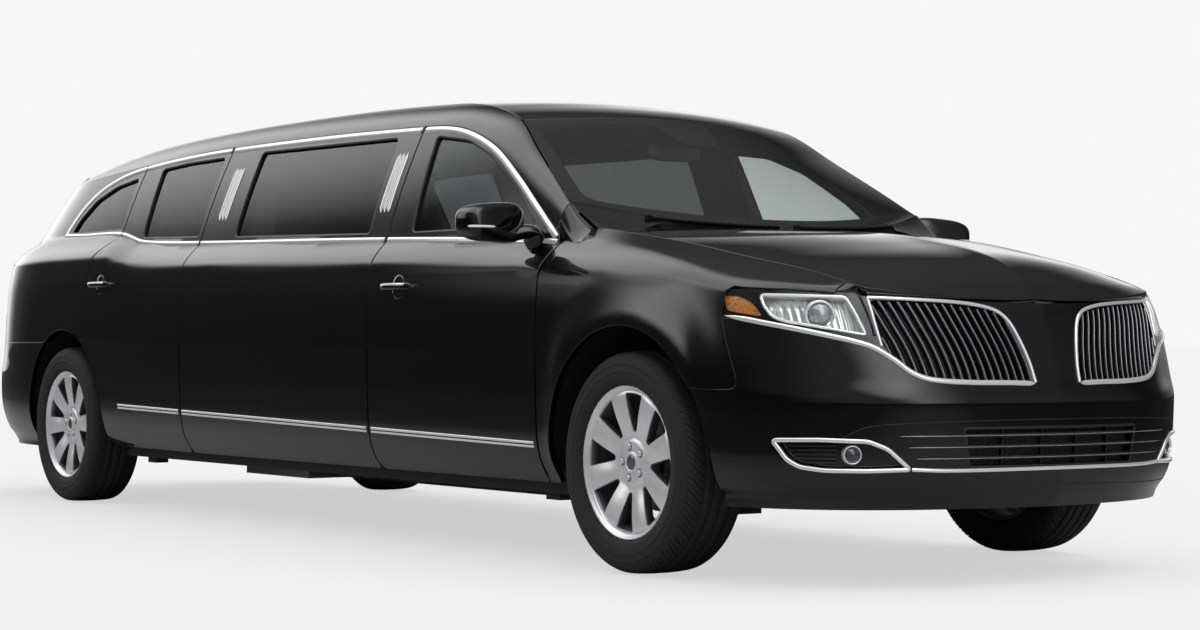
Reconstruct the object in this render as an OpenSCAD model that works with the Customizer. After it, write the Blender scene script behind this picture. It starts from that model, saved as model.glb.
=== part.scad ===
// Stretch limousine, front engine, four side doors and a tailgate.
// X runs forward, Y to the left, Z up; the ground is Z 0 and the origin is under the middle of the body.

/* [Overall] */
// Front axle to rear axle
wheelbase = 4680; // [4500:10:4900]
// Front axle to the tip of the nose
front_overhang = 1060; // [1045:5:1075]
// Rear axle to the back of the bumper
rear_overhang = 1220; // [1205:5:1235]
// Width over the door skins
body_w = 1930; // [1915:5:1945]
// Ground to the underside of the doors
sill_h = 280; // [270:5:290]

/* [Wheels] */
// Outside diameter of a tyre
tyre_d = 738; // [720:2:750]
// Width of a tyre
tyre_w = 255; // [235:5:265]
// Diameter of the bead seat of a rim
rim_d = 508; // [500:2:516]
// Left tyre centre to right tyre centre
track = 1654; // [1640:2:1660]
// Spokes in a rim
spokes = 8; // [6:1:10]
// Radius of a wheel arch
arch_r = 452; // [446:1:458]

/* [Panels] */
// Thickness of a door or a side wall
wall_t = 75; // [65:1:80]
// Thickness of a window frame
frame_t = 48; // [40:1:52]
// Thickness of a fender, a bumper or a lid
skin_t = 24; // [18:1:28]
// Thickness of the glass
glass_t = 6; // [4:0.5:8]
// Gap round a door or a lid
shut_gap = 7.5; // [7:0.5:9]
// Gap between two fixed panels
seam = 0.5; // [0.3:0.1:0.8]

/* [Hinges] */
// Shut line of a door back to its hinge pin
hinge_back = 120; // [115:1:130]
// Skin of a door in to its hinge pin
hinge_in = 22; // [20:1:24]
// Radius of a hinge pin
pin_r = 4; // [3.5:0.5:4.5]
// Clearance of a hinge barrel on its pin
pin_fit = 0.05; // [0.02:0.01:0.1]

/* [Hidden] */
$fn = 48;
overall_len = wheelbase + front_overhang + rear_overhang;
fx = overall_len / 2 - front_overhang;
rx = fx - wheelbase;
half_w = body_w / 2;
tyre_r = tyre_d / 2;
rim_r = rim_d / 2;
hub_y = track / 2;
kingpin_y = hub_y - 82;
far = 2000;
// Width of this body against the width that the tables are drawn for
wk = body_w / 1930;

// Plan of the nose and of the tail: exponents along X and across Y
nose_p = 3.6;
nose_q = 2.3;
tail_p = 5;
tail_q = 6;

// Nose ahead of the front axle: height, reach
NOSE = [[240, 1005], [300, 1036], [380, 1052], [560, 1060], [600, 1058], [650, 1040], [750, 1010], [860, 972],
        [930, 935], [1000, 905], [1100, 900]];
// Tail behind the rear axle: height, reach
TAIL = [[250, 1120], [330, 1178], [480, 1220], [600, 1213], [680, 1165], [770, 1140], [900, 1120],
        [1060, 1085], [1160, 1035], [1240, 985], [1400, 800], [1600, 545], [1640, 497], [1700, 430]];
// Belt line: x, height; ahead of the doors it is the crest of the fender
BELT = [[rx - 1220, 1235], [rx - 700, 1262], [rx + 60, 1266], [rx + 430, 1258], [rx + 700, 1214],
        [rx + 1300, 1190], [fx - 1650, 1150], [fx - 520, 1108], [fx - 100, 1078], [fx + 200, 1028],
        [fx + 470, 956], [fx + 760, 934], [fx + 1060, 870]];
// Lower side: share of the height from sill to belt, how far the skin stands in
SECTION = [[0, 75], [0.05, 42], [0.12, 19], [0.19, 9], [0.27, 6], [0.5, 0], [0.75, 4], [0.88, 14]];
shoulder_v = 0.88;
// Upper side: height, half width
UPPER = [[850, 955], [1000, 922], [1100, 893], [1150, 878], [1300, 830], [1450, 772], [1605, 703],
         [1700, 655]];
// Plan of the lower side: x, how far it stands in
PLAN = [[rx - 1220, 25], [rx - 500, 8], [rx + 300, 0], [fx - 1500, 0], [fx - 700, 6], [fx, 8],
        [fx + 1060, 8]];
// Plan of the upper side: x, how far it stands in
UPPER_PLAN = [[rx - 900, 40], [rx - 200, 10], [rx + 600, 0], [fx - 1700, 0], [fx - 1100, 12], [fx - 500, 40],
              [fx + 200, 20], [fx + 760, 10]];
// Roof frame: x, rail height, ditch half width, ditch height, crown height, crown ahead of the ditch
FRAME = [[rx - 490, 1528, 545, 1592, 1640, 0], [rx - 26, 1566, 562, 1660, 1702, -10],
         [rx + 420, 1590, 572, 1695, 1732, 0], [rx + 1000, 1619, 578, 1712, 1746, 0],
         [rx + 1600, 1624, 580, 1718, 1750, 0], [fx - 2300, 1618, 580, 1714, 1746, 0],
         [fx - 1710, 1604, 582, 1698, 1730, 0], [fx - 1500, 1593, 588, 1684, 1714, 15],
         [fx - 1324, 1561, 604, 1655, 1686, 40], [fx - 1110, 1488, 640, 1593, 1620, 75],
         [fx - 905, 1375, 700, 1470, 1465, 145], [fx - 715, 1250, 755, 1358, 1313, 208],
         [fx - 545, 1150, 800, 1255, 1165, 255]];
frame_x = 0;
frame_rail = 1;
frame_y = 2;
frame_z = 3;
frame_crown = 4;
frame_bow = 5;
header_row = 9;

// Shut lines across the body side
door_front_x = fx - 525;
door_rear_x = fx - 1700;
back_door_front_x = rx + 1310;
back_door_rear_x = rx + 430;
rail_end_x = rx - 490;

function pick(t, x) = max([for (k = [0 : len(t) - 2]) if (k == 0 || x >= t[k][0]) k]);
function slope(t, k) =
    let (a = max(0, k - 1), b = min(len(t) - 1, k + 1)) (t[b][1] - t[a][1]) / (t[b][0] - t[a][0]);
// Value of a table at x: a cubic through the rows, level beyond the ends
function curve(t, x) =
    x <= t[0][0] ? t[0][1] : x >= t[len(t) - 1][0] ? t[len(t) - 1][1] :
    let (k = pick(t, x), w = t[k + 1][0] - t[k][0], u = (x - t[k][0]) / w, s = u * u * (3 - 2 * u))
    t[k][1] * (1 - s) + t[k + 1][1] * s
    + w * (slope(t, k) * u * (1 - u) * (1 - u) - slope(t, k + 1) * u * u * (1 - u));
function mix(a, b, t) = a + (b - a) * t;
function belt(x) = curve(BELT, x);
function nose(z) = curve(NOSE, z) * front_overhang / 1060;
function tail(z) = curve(TAIL, z) * rear_overhang / 1220;
function end_k(x, z) =
    x > fx ? pow(max(0, 1 - pow((x - fx) / nose(z), nose_p)), 1 / nose_q) :
    x < rx ? pow(max(0, 1 - pow((rx - x) / tail(z), tail_p)), 1 / tail_q) : 1;
function upper_y(x, z) = curve(UPPER, z) * wk - curve(UPPER_PLAN, x);
function lower_y(x, z, b) =
    let (v = max(0, (z - sill_h) / (b - sill_h)), t = max(0, (v - shoulder_v) / (1 - shoulder_v)),
         y = half_w - curve(PLAN, x) - curve(SECTION, v))
    mix(y, upper_y(x, b), pow(t, 1.5));
// Half width of the body at x and height z
function side_y(x, z) = let (b = belt(x)) (z <= b ? lower_y(x, z, b) : upper_y(x, z)) * end_k(x, z);
function rail(x) = lookup(x, [for (r = FRAME) [r[frame_x], r[frame_rail]]]);

// Closed slab between an outer and an inner grid of points with the same counts
module slab(outer, inner) {
    n = len(outer);
    m = len(outer[0]);
    o = n * m;
    skin = [for (i = [0 : n - 2], j = [0 : m - 2])
            let (a = i * m + j, b = a + m) each [[a, b, b + 1], [a, b + 1, a + 1]]];
    back = [for (f = skin) [f[0] + o, f[2] + o, f[1] + o]];
    low = [for (i = [0 : n - 2]) let (a = i * m, b = a + m) each [[a, a + o, b + o], [a, b + o, b]]];
    top = [for (i = [0 : n - 2])
           let (a = i * m + m - 1, b = a + m) each [[a, b + o, a + o], [a, b, b + o]]];
    start = [for (j = [0 : m - 2]) each [[j, j + 1, j + 1 + o], [j, j + 1 + o, j + o]]];
    end = [for (j = [0 : m - 2])
           let (a = (n - 1) * m + j) each [[a, a + 1 + o, a + 1], [a, a + o, a + 1 + o]]];
    polyhedron([for (g = [outer, inner], r = g) each r], concat(skin, back, low, top, start, end));
}

// Prism along Y over an outline in X and Z, and one along X over an outline in Y and Z
module along_y(y0, y1) translate([0, y1, 0]) rotate([90, 0, 0]) linear_extrude(y1 - y0) children();
module along_x(x0, x1) translate([x0, 0, 0]) rotate([90, 0, 90]) linear_extrude(x1 - x0) children();
module both() {
    children();
    mirror([0, 1, 0]) children();
}
module soft(r) offset(r) offset(delta = -r) children();

// Rows of a side panel: lower shares, then shares from belt to the top of the wall
side_top = 1660;
LOW_ROWS = [0, 0.05, 0.12, 0.27, 0.5, 0.75, 0.88, 0.94];
UP_ROWS = [0, 0.33, 0.67, 1];
function side_heights(x) = let (b = belt(x))
    concat([for (v = LOW_ROWS) mix(sill_h, b, v)], [for (w = UP_ROWS) mix(b, side_top, w)]);
function side_inset(k) = k < len(LOW_ROWS) ? wall_t : mix(wall_t, frame_t, UP_ROWS[k - len(LOW_ROWS)]);
// Wall of the left side between the given x, seen from the back forward
module side_wall(xs) {
    cols = [for (x = xs)
            let (zs = side_heights(x)) [for (k = [0 : len(zs) - 1]) [x, side_y(x, zs[k]), zs[k], k]]];
    slab([for (c = cols) [for (p = c) [p[0], p[1], p[2]]]],
         [for (c = cols) [for (p = c) [p[0], p[1] - side_inset(p[3]), p[2]]]]);
}
function steps(a, b, n) = [for (i = [0 : n]) mix(a, b, i / n)];

// Outlines in X and Z
function rail_points(a, b, drop) =
    concat([[a, rail(a) - drop]],
           [for (r = FRAME) if (r[frame_x] > a && r[frame_x] < b) [r[frame_x], r[frame_rail] - drop]],
           [[b, rail(b) - drop]]);
module front_door_outline(g)
    polygon(concat([[door_front_x - g, 0]], [[door_rear_x + g, 0]],
                   rail_points(door_rear_x + g, door_front_x - g - 20, g), [[door_front_x - g, 1120]]));
module back_door_outline(g)
    polygon(concat([[back_door_front_x - g, 0], [rx, 0], [rx + 150 + g, 800], [rx + 205 + g, 860],
                    [rx + 330 + g, 1170], [back_door_rear_x + g, 1255]],
                   rail_points(back_door_rear_x + g, back_door_front_x - g, g)));

// Windows in X and Z, and the radius of their corners
pane_r = 22;
module front_window()
    soft(pane_r) polygon([[fx - 700, 1178], [fx - 900, 1322], [fx - 1130, 1450], [fx - 1330, 1520],
                          [fx - 1578, 1550], [fx - 1530, 1180]]);
module stretch_window()
    soft(pane_r) polygon([[fx - 1848, 1185], [fx - 1872, 1560], [rx + 1615, 1575], [rx + 1632, 1212]]);
module back_window()
    soft(pane_r) polygon([[rx + 1282, 1225], [rx + 1262, 1574], [rx + 880, 1570], [rx + 620, 1558],
                          [rx + 668, 1240]]);
module quarter_window()
    soft(pane_r) polygon([[rx + 398, 1290], [rx + 386, 1538], [rx + 150, 1508], [rx - 40, 1448],
                          [rx - 160, 1360], [rx - 215, 1290]]);
module window_hole(grow) along_y(300, far) offset(delta = grow) children();

// Glass of the left side between the given x, in its own window and set in from the skin
pane_in = 14;
module side_pane(xs) {
    zs = [for (k = [0 : 5]) mix(1120, 1640, k / 5)];
    slab([for (x = xs) [for (z = zs) [x, side_y(x, z) - pane_in, z]]],
         [for (x = xs) [for (z = zs) [x, side_y(x, z) - pane_in - glass_t, z]]]);
}
module pane(xs) intersection() {
    side_pane(xs);
    window_hole(-seam) children();
}

// Hinges of a side door: heights; the pin stands behind the shut line and inside the skin
HINGE_Z = [540, 900];
barrel_r = 2 * pin_r;
barrel_h = 34;
notch_h = 96;
arm_h = 22;
function hinge_y(x) = max([for (z = [400 : 50 : 1000]) side_y(x, z)]) - hinge_in;
module door_hinge_cuts(x) {
    for (z = HINGE_Z)
        translate([x - hinge_back - barrel_r, 300, z - notch_h / 2])
            cube([far, hinge_y(x) + barrel_r + 1 - 300, notch_h]);
    difference() {
        translate([x - hinge_back, 300, 0]) cube([far, far, far]);
        translate([x - hinge_back, hinge_y(x), -1])
            cylinder(r = norm([hinge_back - shut_gap / 2, hinge_in]), h = far + 2);
    }
}
module door_barrels(x)
    for (z = HINGE_Z)
        translate([x - hinge_back, hinge_y(x), z - barrel_h / 2]) difference() {
            union() {
                cylinder(r = barrel_r, h = barrel_h);
                translate([-barrel_r - 6, -barrel_r, 0]) cube([barrel_r, 2 * barrel_r, barrel_h]);
            }
            translate([0, 0, -1]) cylinder(r = pin_r + pin_fit, h = barrel_h + 2);
        }
module door_pins(x)
    for (z = HINGE_Z) translate([x - hinge_back, hinge_y(x), z]) {
        translate([0, 0, -barrel_h / 2 - arm_h / 2]) cylinder(r = pin_r, h = barrel_h + arm_h);
        for (s = [-1, 1]) translate([0, 0, s * (barrel_h + arm_h + 2) / 2]) {
            cylinder(r = barrel_r - 2, h = arm_h, center = true);
            translate([2 - barrel_r, rocker_y - 20 - hinge_y(x), -arm_h / 2])
                cube([2 * barrel_r - 4, hinge_y(x) - rocker_y + 20, arm_h]);
        }
    }

// Pull handle: a bar on two posts that stand in the skin
handle_l = 220;
handle_r = 11;
post_r = 9;
module handle(x, z)
    translate([x, side_y(x, z), z]) rotate([0, 90, 0]) {
        translate([0, handle_r + 1, -handle_l / 2]) cylinder(r = handle_r, h = handle_l);
        for (s = [-1, 1]) translate([0, -20, s * (handle_l / 2 - 25)]) rotate([-90, 0, 0])
            cylinder(r = post_r, h = 32);
    }

module front_door_left() color("#15161a") {
    difference() {
        intersection() {
            side_wall(concat([door_rear_x - 10], steps(door_rear_x + 120, door_front_x - 140, 6),
                             [door_front_x + 10]));
            along_y(300, far) front_door_outline(shut_gap / 2);
        }
        window_hole(0) front_window();
        door_hinge_cuts(door_front_x);
    }
    door_barrels(door_front_x);
    handle(fx - 1470, 972);
}
module back_door_left() color("#15161a") {
    difference() {
        intersection() {
            side_wall(concat([rx + 80], steps(rx + 260, back_door_front_x - 140, 7),
                             [back_door_front_x + 10]));
            along_y(300, far) back_door_outline(shut_gap / 2);
        }
        window_hole(0) back_window();
        door_hinge_cuts(back_door_front_x);
        translate([rx, 0, tyre_r]) rotate([-90, 0, 0]) cylinder(r = arch_r, h = far, $fn = 144);
    }
    door_barrels(back_door_front_x);
    handle(rx + 450, 1028);
}
module door_front_left() front_door_left();
module door_front_right() mirror([0, 1, 0]) front_door_left();
module door_rear_left() back_door_left();
module door_rear_right() mirror([0, 1, 0]) back_door_left();
module front_pane() color("#3a4146") pane(steps(door_rear_x, door_front_x, 8)) front_window();
module back_pane() color("#0d0f11") pane(steps(rx + 400, back_door_front_x, 6)) back_window();
module glass_front_left() front_pane();
module glass_front_right() mirror([0, 1, 0]) front_pane();
module glass_rear_left() back_pane();
module glass_rear_right() mirror([0, 1, 0]) back_pane();

// Door mirror: foot in the corner of the window, then the housing
mirror_x = fx - 690;
mirror_z = 1178;
mirror_foot_x = mirror_x - 30;
module mirror_left_part() color("#15161a") {
    translate([mirror_x, half_w + 65, mirror_z]) rotate([0, 0, -12]) scale([62, 108, 68])
        sphere(r = 1, $fn = 40);
    along_x(mirror_foot_x, mirror_foot_x + 70)
        polygon([[side_y(mirror_foot_x, 1114) + 0.4, 1114], [half_w - 5, 1140], [half_w - 5, 1175],
                 [side_y(mirror_foot_x, 1150) + 0.4, 1150]]);
}
module mirror_left() mirror_left_part();
module mirror_right() mirror([0, 1, 0]) mirror_left_part();

// Fixed side walls between the doors
rocker_y = half_w - 165;
module stretch_panel() {
    difference() {
        intersection() {
            side_wall(steps(back_door_front_x - 10, door_rear_x + 10, 6));
            along_y(300, far)
                polygon(concat([[door_rear_x - shut_gap / 2, 0], [back_door_front_x + shut_gap / 2, 0]],
                               rail_points(back_door_front_x + shut_gap / 2, door_rear_x - shut_gap / 2,
                                           seam)));
        }
        window_hole(0) stretch_window();
    }
    translate([back_door_front_x + 60, rocker_y, 300]) cube([door_rear_x - back_door_front_x - 120, 60, 40]);
}
module stretch_panels() color("#15161a") both() stretch_panel();

// Rear quarter with its pillar; the tailgate lies between the two
gate_y = 745 * wk;
gate_top_y = 560 * wk;
// Extra gap at the top of the tailgate, so that its edge swings clear of the pillar
gate_draft = 16;
gate_low_z = 772;
gate_top_z = FRAME[0][frame_crown];
lamp_z0 = 900;
lamp_z1 = 1150;
gate_waist_z = 1235;
module gate_outline(g, draft = 0)
    polygon(concat([[gate_y - g, gate_waist_z], [gate_y - g, gate_low_z],
                    [-gate_y + g, gate_low_z], [-gate_y + g, gate_waist_z]],
                   [for (k = [len(CROSS) - 1 : -1 : 0])
                    [CROSS[k] * (gate_top_y - g - draft), ditch(FRAME[0], CROSS[k])[2]]]));
function tail_pt(a, z, t) =
    let (x = rx - tail(z) * pow(cos(a), 2 / tail_p), y = side_y(x, z), k = 1 - t / tail(z))
    [rx + (x - rx) * k, max(0, y - t * pow(sin(a), 0.6)), z];
QUARTER_A = [24, 36, 50, 64, 76];
QUARTER_Z = [for (k = [0 : 15]) mix(sill_h, side_top, k / 15)];
module quarter_wall(as, xs, zs) {
    outer = concat([for (a = as) [for (z = zs) tail_pt(a, z, 0)]],
                   [for (x = xs) [for (z = zs) [x, side_y(x, z), z]]]);
    inner = concat([for (a = as) [for (z = zs) tail_pt(a, z, frame_t)]],
                   [for (x = xs) [for (z = zs) [x, side_y(x, z) - frame_t, z]]]);
    slab(outer, inner);
}
module lamp_outline(g)
    polygon([[rx - 2000, lamp_z0 - g], [rx - 840 + g, lamp_z0 - g], [rx - 700 + g, lamp_z1 + g],
             [rx - 2000, lamp_z1 + g]]);
bumper_top = 760;
rail_top = 1585;
module rear_quarter() difference() {
    intersection() {
        quarter_wall(QUARTER_A, steps(rx, rx + 440, 4), QUARTER_Z);
        along_y(300, far)
            polygon(concat([[rx - 2000, bumper_top], [rx - 300, bumper_top], [rx - 300, 600], [rx + 100, 600],
                            [rx + 150 - shut_gap / 2, 800],
                            [rx + 205 - shut_gap / 2, 860], [rx + 330 - shut_gap / 2, 1170],
                            [back_door_rear_x - shut_gap / 2, 1255]],
                           [[back_door_rear_x - shut_gap / 2, rail(back_door_rear_x) - seam],
                            [rx - 26, rail(rx - 26) - seam], [rail_end_x, rail(rail_end_x) - seam],
                            [rail_end_x, rail_top], [rx - 2000, rail_top]]));
    }
    along_x(rx - 2000, rx - 300) gate_outline(-shut_gap / 2);
    window_hole(0) quarter_window();
    along_y(300, far) lamp_outline(seam);
    translate([rx, 0, tyre_r]) rotate([-90, 0, 0]) cylinder(r = arch_r, h = far, $fn = 144);
}
module rear_quarters() color("#15161a") both() rear_quarter();
module tail_lamp() intersection() {
    quarter_wall(QUARTER_A, [rx], between(QUARTER_Z, lamp_z0 - 100, lamp_z1 + 100));
    difference() {
        along_y(300, far) lamp_outline(0);
        along_x(rx - 2000, rx - 300) gate_outline(-shut_gap / 2);
    }
}
module tail_lamps() color("#8d1016") both() tail_lamp();
module side_glass() color("#0d0f11") both() {
    pane(steps(back_door_front_x, door_rear_x, 4)) stretch_window();
    pane(steps(rx - 260, rx + 440, 5)) quarter_window();
}

// Tailgate between the quarters, hinged at the back of the roof
gate_front_x = rail_end_x - shut_gap;
gate_hinge_x = rail_end_x - shut_gap / 2;
gate_hinge_z = gate_top_z + 3;
gate_hinge_y = 150 * wk;
gate_barrel = 40;
gate_t = 34;
function gate_pt(s, z, t) =
    let (y = s * mix(gate_y, gate_top_y, max(0, (z - gate_waist_z) / (gate_top_z - gate_waist_z))),
         w = side_y(rx, z) - curve(PLAN, rx - 900),
         x = rx - tail(z) * pow(1 - pow(abs(y) / w, tail_q), 1 / tail_p))
    [x + t, y, z];
module gate_wall(t) {
    zs = [gate_low_z, 840, 940, 1060, 1160, 1240, 1340, 1440, 1540, 1600, gate_top_z + 20];
    ss = [-1.1, -0.8, -0.5, 0, 0.5, 0.8, 1.1];
    slab([for (s = ss) [for (z = zs) gate_pt(s, z, 0)]], [for (s = ss) [for (z = zs) gate_pt(s, z, t)]]);
}
module gate_window()
    soft(30) scale([wk, 1]) polygon([[-640, 1262], [640, 1262], [510, 1556], [-510, 1556]]);
module gate_rod(y0, y1, r)
    translate([gate_hinge_x, y0, gate_hinge_z]) rotate([-90, 0, 0]) cylinder(r = r, h = y1 - y0);
module gate_lugs(r, g) for (s = [-1, 1]) translate([0, s * (gate_barrel / 2 + 9.5), 0])
    gate_rod(gate_hinge_y - 8.5 - g, gate_hinge_y + 8.5 + g, r);
module tailgate() color("#15161a") {
    difference() {
        intersection() {
            gate_wall(gate_t);
            along_x(rx - 2000, rx) gate_outline(shut_gap / 2, gate_draft);
        }
        along_x(rx - 2000, rx) gate_window();
        translate([gate_front_x, -far, 0]) cube([far, 2 * far, far]);
        both() gate_lugs(barrel_r + 2, 1);
        both() gate_rod(gate_hinge_y - gate_barrel / 2, gate_hinge_y + gate_barrel / 2, pin_r + pin_fit);
    }
    both() difference() {
        gate_rod(gate_hinge_y - gate_barrel / 2, gate_hinge_y + gate_barrel / 2, barrel_r);
        gate_rod(0, far, pin_r + pin_fit);
    }
}
module tailgate_glass() color("#0d0f11") intersection() {
    translate([pane_in, 0, 0]) gate_wall(glass_t + 2);
    along_x(rx - 2000, rx) offset(delta = -seam) gate_window();
}

// Rear bumper round the tail, from arch to arch
TAIL_A = [-84, -70, -56, -44, -34, -24, -12, 0, 12, 24, 34, 44, 56, 70, 84];
function both_ways(p, a) = [p[0], sign(a) * p[1], p[2]];
module rear_bumper() color("#15161a") difference() {
    zs = [250, 300, 380, 480, 600, 680, bumper_top - seam];
    slab([for (a = TAIL_A) [for (z = zs) both_ways(tail_pt(abs(a), z, 0), a)]],
         [for (a = TAIL_A) [for (z = zs) both_ways(tail_pt(abs(a), z, skin_t), a)]]);
    translate([rx, -far, tyre_r]) rotate([-90, 0, 0]) cylinder(r = arch_r, h = 2 * far, $fn = 144);
}

// Roof panel, cant rails with the front pillars, windscreen
function ditch(r, s) = [r[frame_x] + r[frame_bow] * (1 - s * s), s * (r[frame_y] * wk - seam),
                        mix(r[frame_crown], r[frame_z], pow(abs(s), 2.2))];
CROSS = [1, 0.75, 0.4, 0, -0.4, -0.75, -1];
module roof_panel() color("#15161a") {
    rows = [for (k = [0 : header_row]) FRAME[k]];
    difference() {
        slab([for (r = rows) [for (s = CROSS) ditch(r, s)]],
             [for (r = rows) [for (s = CROSS) ditch(r, s) - [0, 0, skin_t]]]);
        both() gate_rod(gate_hinge_y - gate_barrel / 2 - 1, gate_hinge_y + gate_barrel / 2 + 1, barrel_r + 2);
    }
    both() {
        gate_lugs(barrel_r, 0);
        gate_rod(gate_hinge_y - gate_barrel / 2 - 5, gate_hinge_y + gate_barrel / 2 + 5, pin_r);
    }
}
module windscreen() color("#3a4146") {
    rows = [for (k = [header_row : len(FRAME) - 1]) FRAME[k]];
    lean = [-0.5, 0, -0.85] * glass_t;
    set = [0.5 * glass_t + seam, 0, 0];
    slab([for (r = rows) [for (s = CROSS) ditch(r, s) + set]],
         [for (r = rows) [for (s = CROSS) ditch(r, s) + set + lean]]);
}
rail_bulge = 16;
function rail_pt(r, w, t) =
    let (y = side_y(r[frame_x], r[frame_rail]), b = rail_bulge * 2.8 * w * (1 - w))
    [r[frame_x], mix(y, r[frame_y] * wk, w) + b - t * cos(90 * w),
     mix(r[frame_rail], r[frame_z], w) + b - t * sin(90 * w)];
module cant_rails() color("#15161a") both() {
    ws = [0, 0.25, 0.5, 0.75, 1];
    slab([for (r = FRAME) [for (w = ws) rail_pt(r, w, 0)]],
         [for (r = FRAME) [for (w = ws) rail_pt(r, w, skin_t)]]);
}

// Bonnet: rear half width, front half width, then centre and edge heights along its length
hood_rear_y = 775 * wk;
hood_front_y = 622 * wk;
HOOD_C = [[0, 1166], [0.35, 1136], [0.6, 1092], [0.8, 1040], [0.93, 966], [1, 900]];
HOOD_E = [[0, 1158], [0.35, 1100], [0.6, 1044], [0.8, 1000], [0.93, 962], [1, 938]];
hood_corner_x = fx - 350;
hood_bow = 160;
function hood_rear_x(y) = hood_corner_x + hood_bow * (1 - pow(y / hood_rear_y, 2));
function front_x(y, z) = fx + nose(z) * pow(1 - pow(abs(y) / (half_w - 20), nose_q), 1 / nose_p);
function hood_pt(s, t, grow) =
    let (yr = s * (hood_rear_y + grow), yf = s * (hood_front_y + grow))
    [mix(hood_rear_x(yr), front_x(yf, curve(HOOD_C, 1)), t), mix(yr, yf, pow(t, 1.5)),
     mix(curve(HOOD_C, t), curve(HOOD_E, t), pow(abs(s), 2.2))];
HOOD_T = [0, 0.17, 0.35, 0.5, 0.6, 0.7, 0.8, 0.87, 0.93, 0.97, 1];
function hood_in(t) = let (k = min(1, max(0, (t - 0.8) / 0.2))) skin_t * [sin(90 * k), 0, cos(90 * k)];
hood_hinge_x = hood_corner_x - 2;
hood_hinge_y = hood_rear_y - 85;
hood_hinge_z = 1130;
hood_barrel = 20;
hood_barrel_r = barrel_r + 1;
module hood_rod(w, r)
    translate([hood_hinge_x, hood_hinge_y - w / 2, hood_hinge_z]) rotate([-90, 0, 0]) cylinder(r = r, h = w);
module hood() color("#15161a") {
    slab([for (t = HOOD_T) [for (s = CROSS) hood_pt(s, t, 0)]],
         [for (t = HOOD_T) [for (s = CROSS) hood_pt(s, t, 0) - hood_in(t)]]);
    both() difference() {
        union() {
            hood_rod(hood_barrel, hood_barrel_r);
            translate([hood_hinge_x, hood_hinge_y - hood_barrel / 2, hood_hinge_z - hood_barrel_r])
                cube([80, hood_barrel, 2 * hood_barrel_r]);
        }
        hood_rod(far / 10, pin_r + pin_fit);
    }
}

// Front fender: the side up to its crest, then over to the bonnet
lamp_back_x = fx + 478;
fascia_top = 625;
tie_y = hood_rear_y - 13;
function crest_pt(x, w) =
    let (t = (x - hood_corner_x) / (front_x(hood_front_y, curve(HOOD_C, 1)) - hood_corner_x),
         h = hood_pt(1, min(1, max(0, t)), shut_gap), y = side_y(x, belt(x)))
    [x, mix(y, min(y - 8, h[1]), w), mix(belt(x), max(belt(x), h[2]), pow(w, 0.8))];
module fender_wall() {
    xs = concat(steps(door_front_x - 5, fx - 140, 3), steps(fx, fx + 760, 8));
    vs = [0, 0.05, 0.12, 0.27, 0.5, 0.75, 0.88, 0.94];
    ws = [0, 0.5, 1];
    slab([for (x = xs) concat([for (v = vs) let (z = mix(sill_h, belt(x), v)) [x, side_y(x, z), z]],
                              [for (w = ws) crest_pt(x, w)])],
         [for (x = xs) concat([for (v = vs) let (z = mix(sill_h, belt(x), v)) [x, side_y(x, z) - skin_t, z]],
                              [for (w = ws) crest_pt(x, w) - [0, mix(skin_t, 0, w), mix(4, skin_t, w)]])]);
}
module fender_outline()
    polygon([[door_front_x + shut_gap / 2, 0], [fx, 0], [fx, fascia_top], [lamp_back_x, fascia_top],
             [lamp_back_x, 952], [fx + 770, 936], [fx + 770, far], [door_front_x + shut_gap / 2, far]]);
module front_fender() {
    difference() {
        intersection() {
            fender_wall();
            along_y(300, far) fender_outline();
        }
        translate([fx, 0, tyre_r]) rotate([-90, 0, 0]) cylinder(r = arch_r, h = far, $fn = 144);
    }
    translate([fx - 60, tower_y + tower_r + seam, 1050]) cube([120, tie_y + 13 - tower_y - tower_r, 25]);
    translate([fx - 60, tie_y, 1050]) cube([120, 20, 46]);
}
module front_fenders() color("#15161a") both() front_fender();

// Fascia round the nose, with openings for the grilles and the lamps
function nose_pt(a, z, t) =
    let (x = fx + nose(z) * pow(cos(a), 2 / nose_p), y = side_y(x, z), k = 1 - t / nose(z))
    [fx + (x - fx) * k, max(0, y - t * pow(sin(a), 0.6)), z];
NOSE_A = [80, 66, 54, 44, 36, 28, 20, 12, 6, 0];
NOSE_Z = [246, 300, 380, 470, 560, 600, 650, 750, 860, 936];
function middle_out(as) = concat(as, [for (k = [len(as) - 2 : -1 : 0]) -as[k]]);
function between(list, lo, hi) = [for (v = list) if (v >= lo && v <= hi) v];
// Wall of the nose, t thick, over the angles as and the heights zs
module nose_wall(t, as, zs)
    slab([for (a = as) [for (z = zs) both_ways(nose_pt(abs(a), z, 0), a)]],
         [for (a = as) [for (z = zs) both_ways(nose_pt(abs(a), z, t), a)]]);
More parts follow.
